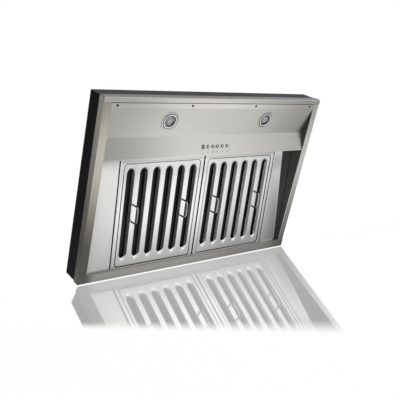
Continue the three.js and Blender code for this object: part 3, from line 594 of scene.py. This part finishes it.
def seam_shadow_bead(start, end, width, rise, sides=16):
    """A round bead along X, which stands in for the shade in a seam: y = (w / 2) cos a,
    z = h sin a at four stations, of which the first and the last are points that close its ends."""
    angle = np.linspace(0, 2 * np.pi, sides, endpoint=False)
    swell = np.array([0.0, 1.0, 1.0, 0.0])[:, None]
    x = np.array([start, start, end, end])[:, None] + 0 * angle
    y, z = swell * width / 2 * np.cos(angle), swell * rise * np.sin(angle)
    return np.stack([x, y, z], -1), grid_faces(4, sides, False, True)


# A black bead along the front panel's front edge, beside the rim: painted shade of the seam.
seam_points, seam_faces = seam_shadow_bead(panel_low.x, panel_high.x, seam_shadow_width, seam_shadow_rise)
seam_points += (0, panel_low.y + seam_shadow_width * 0.3, panel_low.z + seam_shadow_rise * 0.4)
make_piece("panel_seam_shadow", seam_points, seam_faces, black_moulding, "casing", 60)

screw_count = 4
screw_head = 7.6 * MM
screw_dome = 1.1 * MM
screw_skirt = 0.6 * MM
cross_reach = 2.4 * MM
cross_width = 0.55 * MM
cross_depth = 0.8 * MM


def cross_head(radius, dome, sides=48, rings=26):
    """A low domed head seen from above, z = dome (1 - (r/R)^3), with a cross recess: z falls by
    the cross depth where |x| or |y| is under the cross width and r under its reach."""
    r = np.linspace(0, 1, rings) ** 0.8
    angle = np.linspace(0, 2 * np.pi, sides, endpoint=False)
    ring, turn = np.meshgrid(r * radius, angle)
    x, y = ring * np.cos(turn), ring * np.sin(turn)
    z = dome * (1 - (ring / radius) ** 3)
    arm = np.minimum(np.abs(x), np.abs(y))
    inside = np.clip((cross_width * 1.25 - arm) / (cross_width * 0.5), 0, 1)
    inside = inside * np.clip((cross_reach - ring) / (cross_reach * 0.25), 0, 1)
    z = z - inside * cross_depth * (1 - 0.4 * ring / cross_reach)
    x, y = (np.concatenate([a, a[:, -1:], a[:, -1:] * 0], 1) for a in (x, y))
    z = np.pad(z, ((0, 0), (0, 2)), constant_values=-screw_skirt)
    return np.stack([x, y, z], -1), grid_faces(sides, rings + 2, True, False)


bright_metal = grained(
    "bright_metal", 260.0, 4.0, 0.6, (grey(188), grey(214)), (0.1, 0.14), Metallic=1.0
)
dress(bright_metal, "motor_shaft", "damper_pin_front", "damper_pin_rear")

dark_tones = grey(44, 0, 0, -2), grey(72, 0, 0, -2)
dark_metal = grained("dark_metal", 900.0, 3.0, 0.6, dark_tones, (0.22, 0.2), Metallic=1.0)

for number in range(1, screw_count + 1):
    screw_node = f"panel_screw_{number}"
    low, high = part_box(screw_node)
    seat = Matrix.Translation(((low.x + high.x) / 2, (low.y + high.y) / 2, low.z + screw_dome))
    points, faces = copies(
        *cross_head(screw_head / 2, screw_dome),
        [seat @ Matrix.Rotation(math.pi, 4, "X") @ Matrix.Rotation(0.4 * number, 4, "Z")],
    )
    head = make_piece(f"{screw_node}_head", points, faces, dark_metal, "casing", 35)
    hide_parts(screw_node)


# ------------------ lamps
# A pressed bright trim ring with a groove and a raised inner bead, round a frosted lens that
# stands a little below it. Both are turned about an axis square to the sloping lamp facet.

lamp_slope = math.atan2(facet_rise, lamp_run)
lamp_lens_radius = 18.4 * MM
lamp_sides = 96
lens_back = 2.2 * MM


def on_slope(points, slope, place):
    """Points drawn about z = 0, tilted about X by the slope and moved to their place:
    y' = y cos a - z sin a and z' = y sin a + z cos a."""
    c, s = math.cos(slope), math.sin(slope)
    x, y, z = np.moveaxis(points, -1, 0)
    return np.stack([x + place[0], y * c - z * s + place[1], y * s + z * c + place[2]], -1)


flat_and_groove = [(27.0, -0.3), (33.0, -0.3), (33.0, -1.1), (32.4, -1.5), (31.5, -1.5)]
flat_and_groove += [(30.9, -0.6), (30.3, -1.4), (26.0, -1.5), (25.2, -0.4), (24.4, -0.5)]
inner_bead = [(23.8, -2.1), (22.4, -2.7), (20.2, -2.7), (18.9, -2.0), (18.6, -0.6)]
sleeve = [(18.6, 2.5), (24.4, 2.5), (24.4, 5.6), (27.0, 5.6), (27.0, -0.3)]
trim_profile = rounded(flat_and_groove + inner_bead + sleeve, 0.5, 4) * MM
lens_reach = np.linspace(0, 1, 26)
lens_wave = 0.1 * np.cos(lens_reach * 38) * (lens_reach < 0.9)
lens_profile = np.stack(
    [lens_reach * lamp_lens_radius, (0.3 + 1.3 * lens_reach**2 + lens_wave) * MM], -1
)
lens_profile = np.concatenate([lens_profile, [[lamp_lens_radius, lens_back], [0, lens_back]]])

lens_forward, lens_sunk = 0.9 * MM, 0.5 * MM
lamp_low, lamp_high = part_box("lamp_right_lens")
lamp_x, lamp_y, lamp_z = (lamp_low + lamp_high) / 2
lamp_y += lens_forward * math.sin(lamp_slope)
lamp_z -= lens_sunk * math.cos(lamp_slope)


def from_lamp_axis(finish):
    """The distance from the axis of the nearer lamp, r = sqrt((|x| - a)^2 + v^2), where v runs
    along the slope of the lamp facet."""
    x, y, z = finish.here()
    v = (y - lamp_y) * math.cos(lamp_slope) + (z - lamp_z) * math.sin(lamp_slope)
    return (abs(x) - lamp_x).hypot(v)


trim_metal = Finish("lamp_trim_metal", Metallic=1.0)
trim_tone = trim_metal.noise(320.0, 3.0, 0.6)
trim_reach = from_lamp_axis(trim_metal)
# The trim's grooves and edges are painted dark, a painted shade, and its inner bead a little
# lighter, a painted highlight.
outer_groove = trim_reach.between(29.0 * MM, 29.6 * MM, 30.8 * MM, 31.4 * MM)
inner_groove = trim_reach.between(23.2 * MM, 23.8 * MM, 25.8 * MM, 26.6 * MM)
outer_edge = trim_reach.above(32.2 * MM, 32.8 * MM)
inner_edge = 1.0 - trim_reach.above(18.7 * MM, 19.0 * MM)
shaded = outer_groove * 0.9 + inner_groove + outer_edge * 0.6 + inner_edge
bead = trim_reach.between(18.8 * MM, 19.2 * MM, 22.8 * MM, 23.4 * MM)
trim_colour = trim_metal.blend(trim_tone, grey(222), grey(236))
trim_colour = trim_metal.blend(bead, trim_colour, grey(236))
trim_metal.feed(
    Base_Color=trim_metal.blend(shaded, trim_colour, grey(34)),
    Roughness=trim_tone * 0.1 + 0.16,
)

lens_glass = Finish("lamp_lens_glass", Specular_IOR_Level=0.6, Coat_Roughness=0.08)
frost = lens_glass.noise(1500.0, 2.0, 0.5)
lens_cloud = lens_glass.noise(95.0, 3.0, 0.5)
# The lens is painted lighter in its middle and darker towards its edge: painted light and painted
# shade.
lens_lit_middle = 1.0 - from_lamp_axis(lens_glass).above(3.0 * MM, 17.5 * MM)
lens_tone = lens_glass.blend(lens_lit_middle, grey(70, -2, 0, 4), grey(158, -2, 0, 4))
lens_spots = lens_cloud.above(0.4, 0.6) * 0.45
lens_glass.feed(
    Base_Color=lens_glass.blend(lens_spots, lens_tone, grey(176, -2, 0, 4)),
    Roughness=frost * 0.2 + 0.18,
    Normal=lens_glass.bump(frost, 0.00006, 0.4),
)

cast_tones = grey(104, 0, 2, 6), grey(140, 0, 2, 5)
cast_metal = grained(
    "cast_metal", 420.0, 4.0, 0.65, cast_tones, (0.42, 0.2), (0.15 * MM, 0.6), Metallic=0.9
)
dress(cast_metal, "lamp_left_body", "lamp_right_body", "motor")

for side in ("left", "right"):
    lamp_place = (lamp_x * (-1 if side == "left" else 1), lamp_y, lamp_z)
    for part, profile, metal, slot in (
        ("trim", trim_profile, trim_metal.material, "chrome"),
        ("lens", lens_profile, lens_glass.material, "frosted_lens"),
    ):
        points, faces = turned(profile, lamp_sides)
        points = on_slope(points, lamp_slope, lamp_place)
        piece = make_piece(f"lamp_{side}_{part}_ring", points, faces, metal, "casing", 40)
        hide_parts(f"lamp_{side}_{part}")


# ------------------ controls
# Five round push buttons with dished faces, a smoked window beside them, and plain printed
# marks. They stand square to the control facet, which slopes down towards the rear.

control_slope = math.atan2(-facet_rise, control_run)
button_pitch = 20.0 * MM
button_count = 5
cap_sunk = 0.4 * MM
dish = np.linspace(0, 1, 14)
button_face = np.stack([dish * 3.6, -1.9 - 0.2 * dish**2], -1)
button_rim = [(3.6, -2.1), (3.9, -1.8), (4.4, -2.1), (5.2, -2.0), (5.5, -1.5), (5.5, 3.0)]
button_profile = np.concatenate([button_face, rounded(button_rim, 0.4), [(0, 3.0)]]) * MM
row_low, row_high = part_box("button_3")
row_middle = (row_low + row_high) / 2

button_finish = Finish("button_finish")
button_x, button_y, button_z = button_finish.here()
from_button = (button_x - button_pitch / 2).pingpong(button_pitch / 2)
down_slope = (button_y - row_middle.y) * math.cos(control_slope)
down_slope = down_slope + (button_z - row_middle.z) * math.sin(control_slope)
# Beyond 3.3 mm from its middle the cap is black and not metal: partly its black plastic side,
# partly a dark ring on the face's rim painted as the shade of the gap round the cap.
collar = from_button.hypot(down_slope).above(2.7 * MM, 3.3 * MM)
button_wear = button_finish.noise(700.0, 4.0, 0.6)
button_colour = button_finish.blend(button_wear, grey(224), grey(240))
button_finish.feed(
    Base_Color=button_finish.blend(collar, button_colour, grey(26)),
    Metallic=1.0 - collar,
    Roughness=button_wear * 0.12 + 0.2,
)

for number in range(1, button_count + 1):
    node = f"button_{number}"
    low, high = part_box(node)
    press = Vector(next(j["axis"] for j in frame["joints"] if j["child"] == node))
    centre = (low + high) / 2 - press * cap_sunk
    points, faces = turned(button_profile, 48)
    points = on_slope(points, control_slope, centre)
    cap = make_piece(f"{node}_cap", points, faces, button_finish.material, node, 35)
    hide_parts(node)

smoked = grained(
    "smoked_window", 180.0, 3.0, 0.5, (grey(62, 0, 0, 2), grey(98, 0, 0, 2)), (0.1, 0.08),
    Coat_Weight=0.6, Coat_Roughness=0.05, Specular_IOR_Level=0.6,
)
dress(smoked, "display_window")
ink = grained(
    "printed_ink", 2000.0, 3.0, 0.5, (grey(34), grey(60)), (0.5, 0.1), Specular_IOR_Level=0.3
)

# Each mark is a flat oval with a place across and along the facet and two half widths in
# millimetres: a dot under each button, one more on each side of the second, and a dash.
mark_thickness = 0.06 * MM
mark_row = 16.5 * MM
side_dot = 2.4 * MM
mark_profile = np.array([(0, -1), (1, -1), (1, 0), (0, 0)], float) * (MM, mark_thickness)
button_xs = (np.arange(button_count) - 1.5) * button_pitch
ovals = [(x, mark_row, 1.7, 1.7) for x in button_xs]
ovals += [(button_xs[1] + shift, mark_row, 1.7, 1.1) for shift in (-side_dot, side_dot)]
ovals += [(0.0, 0.0, 4.0, 1.3)]
facet_y = row_middle.y - panel_high.y
facet_z = panel_low.z - facet_y * facet_rise / control_run
facet = Matrix.Translation((0, row_middle.y, facet_z)) @ Matrix.Rotation(control_slope, 4, "X")
mark_places = [
    facet @ Matrix.Translation((x, y, 0)) @ Matrix.Diagonal((wide, long, 1, 1))
    for x, y, wide, long in ovals
]
mark_points, mark_faces = copies(*turned(mark_profile, 20), mark_places)
make_piece("control_marks", mark_points, mark_faces, ink, "casing", 40)


# ------------------ filters
# Bright stainless baffle filters. The frame's window has a pressed step, the face behind it has
# six long slots whose edges are drawn inwards, wide at the ends, and wire handles on two bars.

slide = Vector(next(j["axis"] for j in frame["joints"] if j["name"] == "filter_left_slide"))
deck_tilt = math.atan2(slide.z, -slide.y)
filter_border = 16.0 * MM
window_corner = 12.0 * MM
sheet = 1.0 * MM
face_level = 1.3 * MM
slot_count = 6
slot_pitch = 47.72 * MM
slot_width = 29.2 * MM
slot_front_land = 17.0 * MM
slot_rear_land = 28.0 * MM
slot_shift = (slot_front_land - slot_rear_land) / 2
slot_wall = 9.0 * MM
side_draw = 0.9 * MM
scoop_drop = 7.0 * MM
scoop_length = 15.0 * MM
rear_outward, front_outward, side_outward = 1.0, 0.7, 0.55
end_strip = 20.0 * MM
fold = 2.8 * MM
wall_lean = 3.5 * MM


def filter_seat(side):
    """The size of a filter across, along its slope and through it, and the matrix that puts a
    point drawn about the middle of its lower face on the deck. Its box gives the two sums
    height = L sin a + T cos a and depth = L cos a + T sin a."""
    low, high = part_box(f"filter_{side}_frame")
    s, c = math.sin(deck_tilt), math.cos(deck_tilt)
    rise, run = high.z - low.z, high.y - low.y
    length = (run * c - rise * s) / (c * c - s * s)
    thick = (rise * c - run * s) / (c * c - s * s)
    rear_y = high.y - thick * s
    middle = Vector(((low.x + high.x) / 2, rear_y - length / 2 * c, low.z + length / 2 * s))
    seat = Matrix.Translation(middle) @ Matrix.Rotation(-deck_tilt, 4, "X")
    return high.x - low.x, length, thick, np.array(seat)


def seated(points, seat):
    """Points drawn on a filter's own plane, put on the deck: p' = R p + t."""
    return points @ seat[:3, :3].T + seat[:3, 3]


def rounded_rectangle(width, length, radius, arc=9):
    """The outline of a rectangle with round corners, anticlockwise, as (x, y) points: on each
    corner, its centre plus r (cos a, sin a)."""
    angle = np.linspace(0, np.pi / 2, arc) + np.arange(4)[:, None] * np.pi / 2
    x = np.array([[1], [-1], [-1], [1]]) * (width / 2 - radius) + radius * np.cos(angle)
    y = np.array([[1], [1], [-1], [-1]]) * (length / 2 - radius) + radius * np.sin(angle)
    return np.stack([x.ravel(), y.ravel()], -1)


def frame_ring(width, length, thick):
    """The filter's frame as rings of its outline, each at an inset, with a corner radius and at a
    height. They run from the inturned top edge down the outer wall and over the fold, across the
    border, down the pressed step of the window and back inside the sheet."""
    brim, outer, inner = 9.0 * MM, 4.0 * MM, 2.0 * MM
    low = 1.25 * MM
    rings_at = [(brim, inner, thick), (0.0, outer, thick)]
    for out, up in ((0.0, 1.0), (0.08, 0.62), (0.3, 0.3), (0.62, 0.08), (1.0, 0.0)):
        rings_at.append((fold * out, outer, fold * up))
    for back, height in ((2.6, 0.0), (1.8, 0.15), (1.0, 0.55), (0.3, 1.05), (0.0, 1.22)):
        rings_at.append((filter_border - back * MM, window_corner + back * MM, height * MM))
    rings_at += [
        (filter_border, window_corner, low),
        (filter_border - sheet, window_corner, low),
        (sheet, inner, low + fold * 0.5),
        (sheet, inner, thick - sheet),
        (brim, inner, thick - sheet),
    ]
    rings = []
    for inset, radius, height in rings_at:
        outline = rounded_rectangle(width - 2 * inset, length - 2 * inset, radius)
        rings.append(np.insert(outline, 2, height, axis=1))
    points = np.stack(rings, 1)
    return points, grid_faces(*points.shape[:2], True, True)


def slot_outline(reach, corner_angle, arc=8):
    """Angles round a slot and the height of the arc centre that each belongs to: two half
    circles at +reach and -reach, with one angle that points to the corner of the slot's cell."""
    stops = (0, corner_angle, np.pi - corner_angle, np.pi)
    arcs = [np.linspace(a, b, arc, endpoint=b == np.pi) for a, b in zip(stops, stops[1:])]
    half = np.concatenate(arcs)
    return np.concatenate([half, half + np.pi]), np.repeat([reach, -reach], len(half))


def slot_cell(x0, x1, y0, y1, middle_x, length):
    """One cell of the face, from its rectangle to its slot, and which of its faces are the long
    walls. The lower sheet rolls into the slot on a quarter ellipse that widens and deepens from
    the sides to the ends as sin^2, runs up the wall, turns at its lip and comes back on the
    upper side of the sheet to the rectangle."""
    radius = slot_width / 2
    reach = length / 2 - radius
    corner = math.atan2(y1 - slot_shift - reach, (x1 - x0) / 2)
    angle, centre = slot_outline(reach, corner)
    ux, uy = np.cos(angle), np.sin(angle)
    share = np.where(uy > 0, rear_outward, front_outward)
    share = side_outward + (share - side_outward) * uy**2
    draw = side_draw + (scoop_length - side_draw) * uy**2
    drop = side_draw + (scoop_drop - side_draw) * uy**2
    outward = draw * share
    inward = draw - outward

    def ring(offset, height):
        """The slot's outline moved out by an offset: its arc centres plus r (cos a, sin a)."""
        r = radius + offset
        x, y = middle_x + r * ux, slot_shift + centre + r * uy
        return np.stack([x, y, height + 0 * angle], -1)

    top, bottom = slot_shift + reach, slot_shift - reach
    half_x = np.where(ux >= 0, x1 - middle_x, middle_x - x0)
    half_y = np.where(uy >= 0, y1 - top, bottom - y0)
    abs_x, abs_y = np.maximum(np.abs([ux, uy]), 1e-9)
    scale = np.minimum(half_x / abs_x, half_y / abs_y)
    edge = np.stack([middle_x + scale * ux, slot_shift + centre + scale * uy], -1)
    lower, upper = (np.insert(edge, 2, face_level + lift, axis=1) for lift in (0, sheet))
    roll = np.linspace(0, np.pi / 2, 9)
    rings = [lower]
    rings += [ring(outward - draw * np.sin(t), face_level + drop * (1 - np.cos(t))) for t in roll]
    depth = face_level + sheet + slot_wall
    lip = -inward - wall_lean * ux**2
    rings += [ring(lip, depth), ring(lip + sheet, depth)]
    back = ring(-inward + sheet, face_level + drop + 0.4 * sheet)
    rings += [back, ring(outward + 0.5 * sheet, face_level + sheet), upper]
    long_side = np.abs(uy) < 0.5
    on_wall = np.arange(len(rings) - 1) >= len(roll) - 2
    return np.stack(rings, 1), (long_side[:, None] & on_wall).ravel()


def slotted_face(width, length):
    """The whole face: one cell for each slot, side by side. The outer edges of the outer cells
    are moved out to the face's edge, and a strip closes the sheet's thickness along it."""
    inset = sheet + 0.3 * MM
    half_slots = (length - 2 * filter_border - slot_front_land - slot_rear_land) / 2
    near_y, far_y = slot_shift - half_slots - end_strip, slot_shift + half_slots + end_strip
    outer_y = {near_y: -length / 2 + inset, far_y: length / 2 - inset}
    cells, faces, walls, start = [], [], [], 0
    for i in range(slot_count):
        middle_x = (i - (slot_count - 1) / 2) * slot_pitch
        near_x, far_x = middle_x - slot_pitch / 2, middle_x + slot_pitch / 2
        outer_x = {near_x: -width / 2 + inset} if i == 0 else {}
        outer_x |= {far_x: width / 2 - inset} if i == slot_count - 1 else {}
        cell, wall = slot_cell(near_x, far_x, near_y, far_y, middle_x, 2 * half_slots)
        walls.append(wall)
        rows, columns = cell.shape[:2]
        lower = np.arange(rows) * columns + start
        after = np.roll(lower, -1)
        faces.append(grid_faces(rows, columns, True, False) + start)
        for axis, moves in ((0, outer_x), (1, outer_y)):
            for line, edge in moves.items():
                on_line = np.isclose(cell[:, 0, axis], line)
                cell[on_line, 0, axis] = cell[on_line, -1, axis] = edge
                both = on_line & np.roll(on_line, -1)
                last = columns - 1
                strip_faces = [lower, lower + last, after + last, after]
                faces.append(np.stack(strip_faces, -1)[both])
                walls.append(np.zeros(both.sum(), bool))
        cells.append(cell.reshape(-1, 3))
        start += rows * columns
    return np.concatenate(cells), np.concatenate(faces), np.concatenate(walls)


def wire_path(foot, rise, span, bend, steps=10):
    """A handle's centreline in (y, z): down a leg, round a quarter circle with
    y = b (1 - cos a) - s / 2 and z = f - h + b (1 - sin a), along the grip, round again and up the
    other leg."""
    turn = np.linspace(0, np.pi / 2, steps)
    y, z = bend * (1 - np.cos(turn)) - span / 2, foot - rise + bend * (1 - np.sin(turn))
    left = np.stack([y, z], -1)
    right = left[::-1] * (-1, 1)
    ends = np.array([[-span / 2, foot], [span / 2, foot]])
    return np.concatenate([ends[:1], left, right, ends[1:]])


def wire(path, radius, sides=18):
    """A round wire along a path in the plane x = 0: at each point a circle square to the path,
    p + r (cos a x + sin a n), where n is the path's normal in its plane, and a point to close
    each end."""
    along = np.gradient(path, axis=0)
    along /= np.linalg.norm(along, axis=1, keepdims=True)
    normal = np.stack([-along[:, 1], along[:, 0]], -1)
    path, normal = (np.concatenate([a[:1], a, a[-1:]]) for a in (path, normal))
    radius = np.array([0] + [radius] * (len(path) - 2) + [0])[:, None]
    angle = np.linspace(0, 2 * np.pi, sides, endpoint=False)
    x = radius * np.cos(angle)
    yz = path[:, None, :] + (radius * np.sin(angle))[..., None] * normal[:, None, :]
    return np.concatenate([x[..., None], yz], -1), grid_faces(len(path), sides, False, True)


filter_width, filter_length, _, left_seat = filter_seat("left")
left_place = Vector(left_seat[:3, 3].tolist())
window_x = filter_width / 2 - filter_border - window_corner
window_y = filter_length / 2 - filter_border - window_corner
front_arc = slot_front_land + filter_border - filter_length / 2 + slot_width / 2
line_shift = 0.4 * MM
scoop_squeeze = 1.35


def filter_places(finish):
    """The place on either filter: u across from its middle, v along its slope and h over its
    lower plane, h = (z - z0) cos a + (y - y0) sin a."""
    x, y, z = finish.here()
    down, back = z - left_place.z, y - left_place.y
    c, s = math.cos(deck_tilt), math.sin(deck_tilt)
    return abs(abs(x) - abs(left_place.x)), back * c - down * s, down * c + back * s


def window_joint_and_shade(finish, u, v):
    """A thin dark line along the window, where two sheets meet: partly their dark joint and partly
    painted shade of the step. q = |p| less the straight half sides, and the distance is
    |max(q, 0)| + min(max(qx, qy), 0) less the corner's radius. The painted shade is fainter
    beside the middle of the hood and along the front."""
    qx, qy = u - window_x, abs(v) - window_y
    inside = qx.larger(qy).smaller(0.0)
    distance = qx.larger(0.0).hypot(qy.larger(0.0)) + inside - window_corner
    line = 1.0 - abs(distance + line_shift).above(1.1 * MM, 2.5 * MM)
    line *= abs(finish.here()[0]).above(25.0 * MM, 45.0 * MM) * 0.55 + 0.45
    return line * (v.above(10.0 * MM - window_y, 30.0 * MM - window_y) * 0.55 + 0.45)


def border_shade(finish):
    """Painted shade in the folds, the line where the border meets the face, and painted shade on
    the front border, which lies in the shade of the panel."""
    u, v, height = filter_places(finish)
    fold_shade = height.above(0.04 * MM, 0.3 * MM)
    front = (1.0 - (v + filter_length / 2).above(11.0 * MM, 15.0 * MM)) * 0.26
    return fold_shade.larger(window_joint_and_shade(finish, u, v)).larger(front), grey(50, 0, 0, -3)


def face_shade(finish):
    """The line beside the border, and painted shade on the front scoops, which darken softly
    towards the slot: by the distance from the nearest slot's front arc centre, from its radius
    outwards."""
    u, v, height = filter_places(finish)
    off_axis = (u - slot_pitch / 2).pingpong(slot_pitch / 2) * scoop_squeeze
    off_arc = v - front_arc
    from_arc = off_axis.hypot(off_arc)
    scoop_shade = 1.0 - from_arc.above(slot_width / 2 - 1.0 * MM, slot_width / 2 + 9.5 * MM)
    scoop_shade *= (1.0 - off_arc.above(-11.0 * MM, 0.0)) * 0.97
    return scoop_shade.larger(window_joint_and_shade(finish, u, v)), grey(40, 0, 0, -3)


filter_steel = brushed_steel(
    "filter_steel", grey(248, 0, 0, -3), 1, 0.16, 0.3, 0.05, marks=(border_shade,)
)
slot_steel = brushed_steel(
    "slot_steel", grey(248, 0, 0, -3), 1, 0.2, 0.3, 0.05, marks=(face_shade,)
)
wall_finish = Finish("slot_wall_steel", Metallic=0.35, Specular_IOR_Level=0.3)
wall_grain = wall_finish.noise((700.0, 6.0, 700.0), 4.0, 0.6)
# The walls are painted lighter towards +x, so that the right filter's walls are lighter than the
# left's: painted light.
wall_lit_side = wall_finish.here()[0].above(-0.12, 0.3)
wall_tone = wall_finish.blend(wall_lit_side, grey(130, 0, 0, -5), grey(212, 0, 0, -5))
wall_dark = wall_finish.blend(wall_lit_side, grey(80, 0, 0, -5), grey(150, 0, 0, -5))
wall_steel = wall_finish.feed(
    Base_Color=wall_finish.blend(wall_grain.above(0.36, 0.6), wall_dark, wall_tone),
    Roughness=wall_grain * 0.16 + 0.42,
    Normal=wall_finish.bump(wall_grain, 0.000004, 0.3),
)
# The baffles are a dark grey that stands in for the shade deep inside the slots: painted shade.
shaded_baffle_steel = brushed_steel("shaded_baffle_steel", grey(54, 0, 0, -4), 1, 0.45, 0.5, 0.04)
dress(shaded_baffle_steel, "filter_left_baffle", "filter_right_baffle")

handle_metal = Finish("handle_metal", Metallic=1.0)
handle_wear = handle_metal.noise(400.0, 4.0, 0.6)
handle_tone = handle_metal.blend(handle_wear, grey(168), grey(196))
# The legs above the bends are painted dark: a painted reflection of the dark they mirror.
leg = filter_places(handle_metal)[2].above(-17.0 * MM, -14.0 * MM)
handle_metal.feed(
    Base_Color=handle_metal.blend(leg, handle_tone, grey(34)),
    Roughness=handle_wear * 0.14 + 0.14,
)

handle_radius = 2.7 * MM
handle_span = 55.0 * MM
handle_rise = 22.0 * MM
handle_bend = 12.0 * MM
handle_foot = 1.0 * MM

for side in ("left", "right"):
    body = f"filter_{side}"
    width, length, thick, seat = filter_seat(side)
    points, faces = frame_ring(width, length, thick)
    piece = make_piece(
        f"{body}_border", seated(points, seat), faces, filter_steel, body, 28
    )
    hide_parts(f"{body}_frame")
    points, faces, walls = slotted_face(width, length)
    piece = make_piece(
        f"{body}_slots", seated(points, seat), faces, slot_steel, body, 38,
        weld=1e-5, second=(wall_steel, walls),
    )
    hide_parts(f"{body}_face")
    for place in ("inner", "outer"):
        node = f"{body}_handle_{place}"
        low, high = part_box(node)
        path = wire_path(handle_foot, handle_rise, handle_span, handle_bend)
        points, faces = wire(path, handle_radius)
        points[..., 0] += (low.x + high.x) / 2 - seat[0, 3]
        points[..., 1] += slot_shift
        piece = make_piece(
            f"{node}_wire", seated(points, seat), faces, handle_metal.material, body, 50
        )
        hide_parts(node)


# ------------------ blower, box and collar
# Galvanised sheet with its crystal spangle: the box over the casing, the spiral scroll and the
# impeller inside it, the round collar with the two damper flaps, and the terminal box.

# Flat crystals about 12 mm across, each with its own grey and gloss, and a bloom in patches.
zinc = Finish("zinc_sheet", Metallic=0.3)
cells = {"Vector": zinc.place(85.0), "Scale": 1.0}
crystal_colour = zinc.node("ShaderNodeTexVoronoi", inputs=cells, output=1)
crystal = zinc.node("ShaderNodeSeparateColor", inputs={"Color": crystal_colour})
bloom = zinc.noise(11.0, 5.0, 0.6).above(0.5, 0.8)
zinc_tone = crystal * 0.8 + zinc.noise(500.0, 3.0, 0.6) * 0.2
zinc_colour = zinc.blend(zinc_tone, grey(150, 0, 2, 4), grey(186, 0, 2, 4))
zinc.feed(
    Base_Color=zinc.blend(bloom * 0.3, zinc_colour, grey(205)),
    Roughness=crystal * 0.14 + bloom * 0.2 + 0.34,
    Normal=zinc.bump(crystal, 0.02 * MM, 0.3),
)
dress(
    zinc.material, "blower_box", "blower_box_end_left", "blower_box_end_right", "scroll_wall",
    "scroll_left", "scroll_right", "impeller", "motor_bracket", "duct_collar", "damper_front",
    "damper_rear", "terminal_box", "terminal_lid",
)

# The sheet screws: two rows along the box's feet, one at each end, a ring on the collar's flange
# and two in the terminal box's lid.
box_low, box_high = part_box("blower_box")
end_low, end_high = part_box("blower_box_end_right")
collar_low, collar_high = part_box("duct_collar")
lid_low, lid_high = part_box("terminal_lid")
foot_z = box_low.z + 1.2 * MM
foot_y = box_high.y - 7.0 * MM
foot_x = end_high.x - 5.5 * MM
row_margin = 30.0 * MM
flange_z = collar_low.z + 1.0 * MM
flange_circle = 85.0 * MM
lid_margin = 12.0 * MM
row_xs = np.linspace(box_low.x + row_margin, box_high.x - row_margin, 6)
row_ys = np.linspace(end_low.y + row_margin, end_high.y - row_margin, 3)
screw_spots = [(x, side * foot_y, foot_z) for side in (-1, 1) for x in row_xs]
screw_spots += [(side * foot_x, y, foot_z) for side in (-1, 1) for y in row_ys]
flange_x, flange_y, _ = (collar_low + collar_high) / 2
for angle in np.linspace(0, 2 * math.pi, 6, endpoint=False) + 0.5:
    x = flange_x + flange_circle * math.cos(angle)
    screw_spots.append((x, flange_y + flange_circle * math.sin(angle), flange_z))
lid_x = (lid_low.x + lid_high.x) / 2
screw_spots += [(lid_x, y, lid_high.z) for y in (lid_low.y + lid_margin, lid_high.y - lid_margin)]
screw_places = [Matrix.Translation(spot) for spot in screw_spots]
points, faces = copies(*cross_head(4.0 * MM, 1.5 * MM, 24, 14), screw_places)
make_piece("sheet_screws", points, faces, bright_metal, "casing", 35)
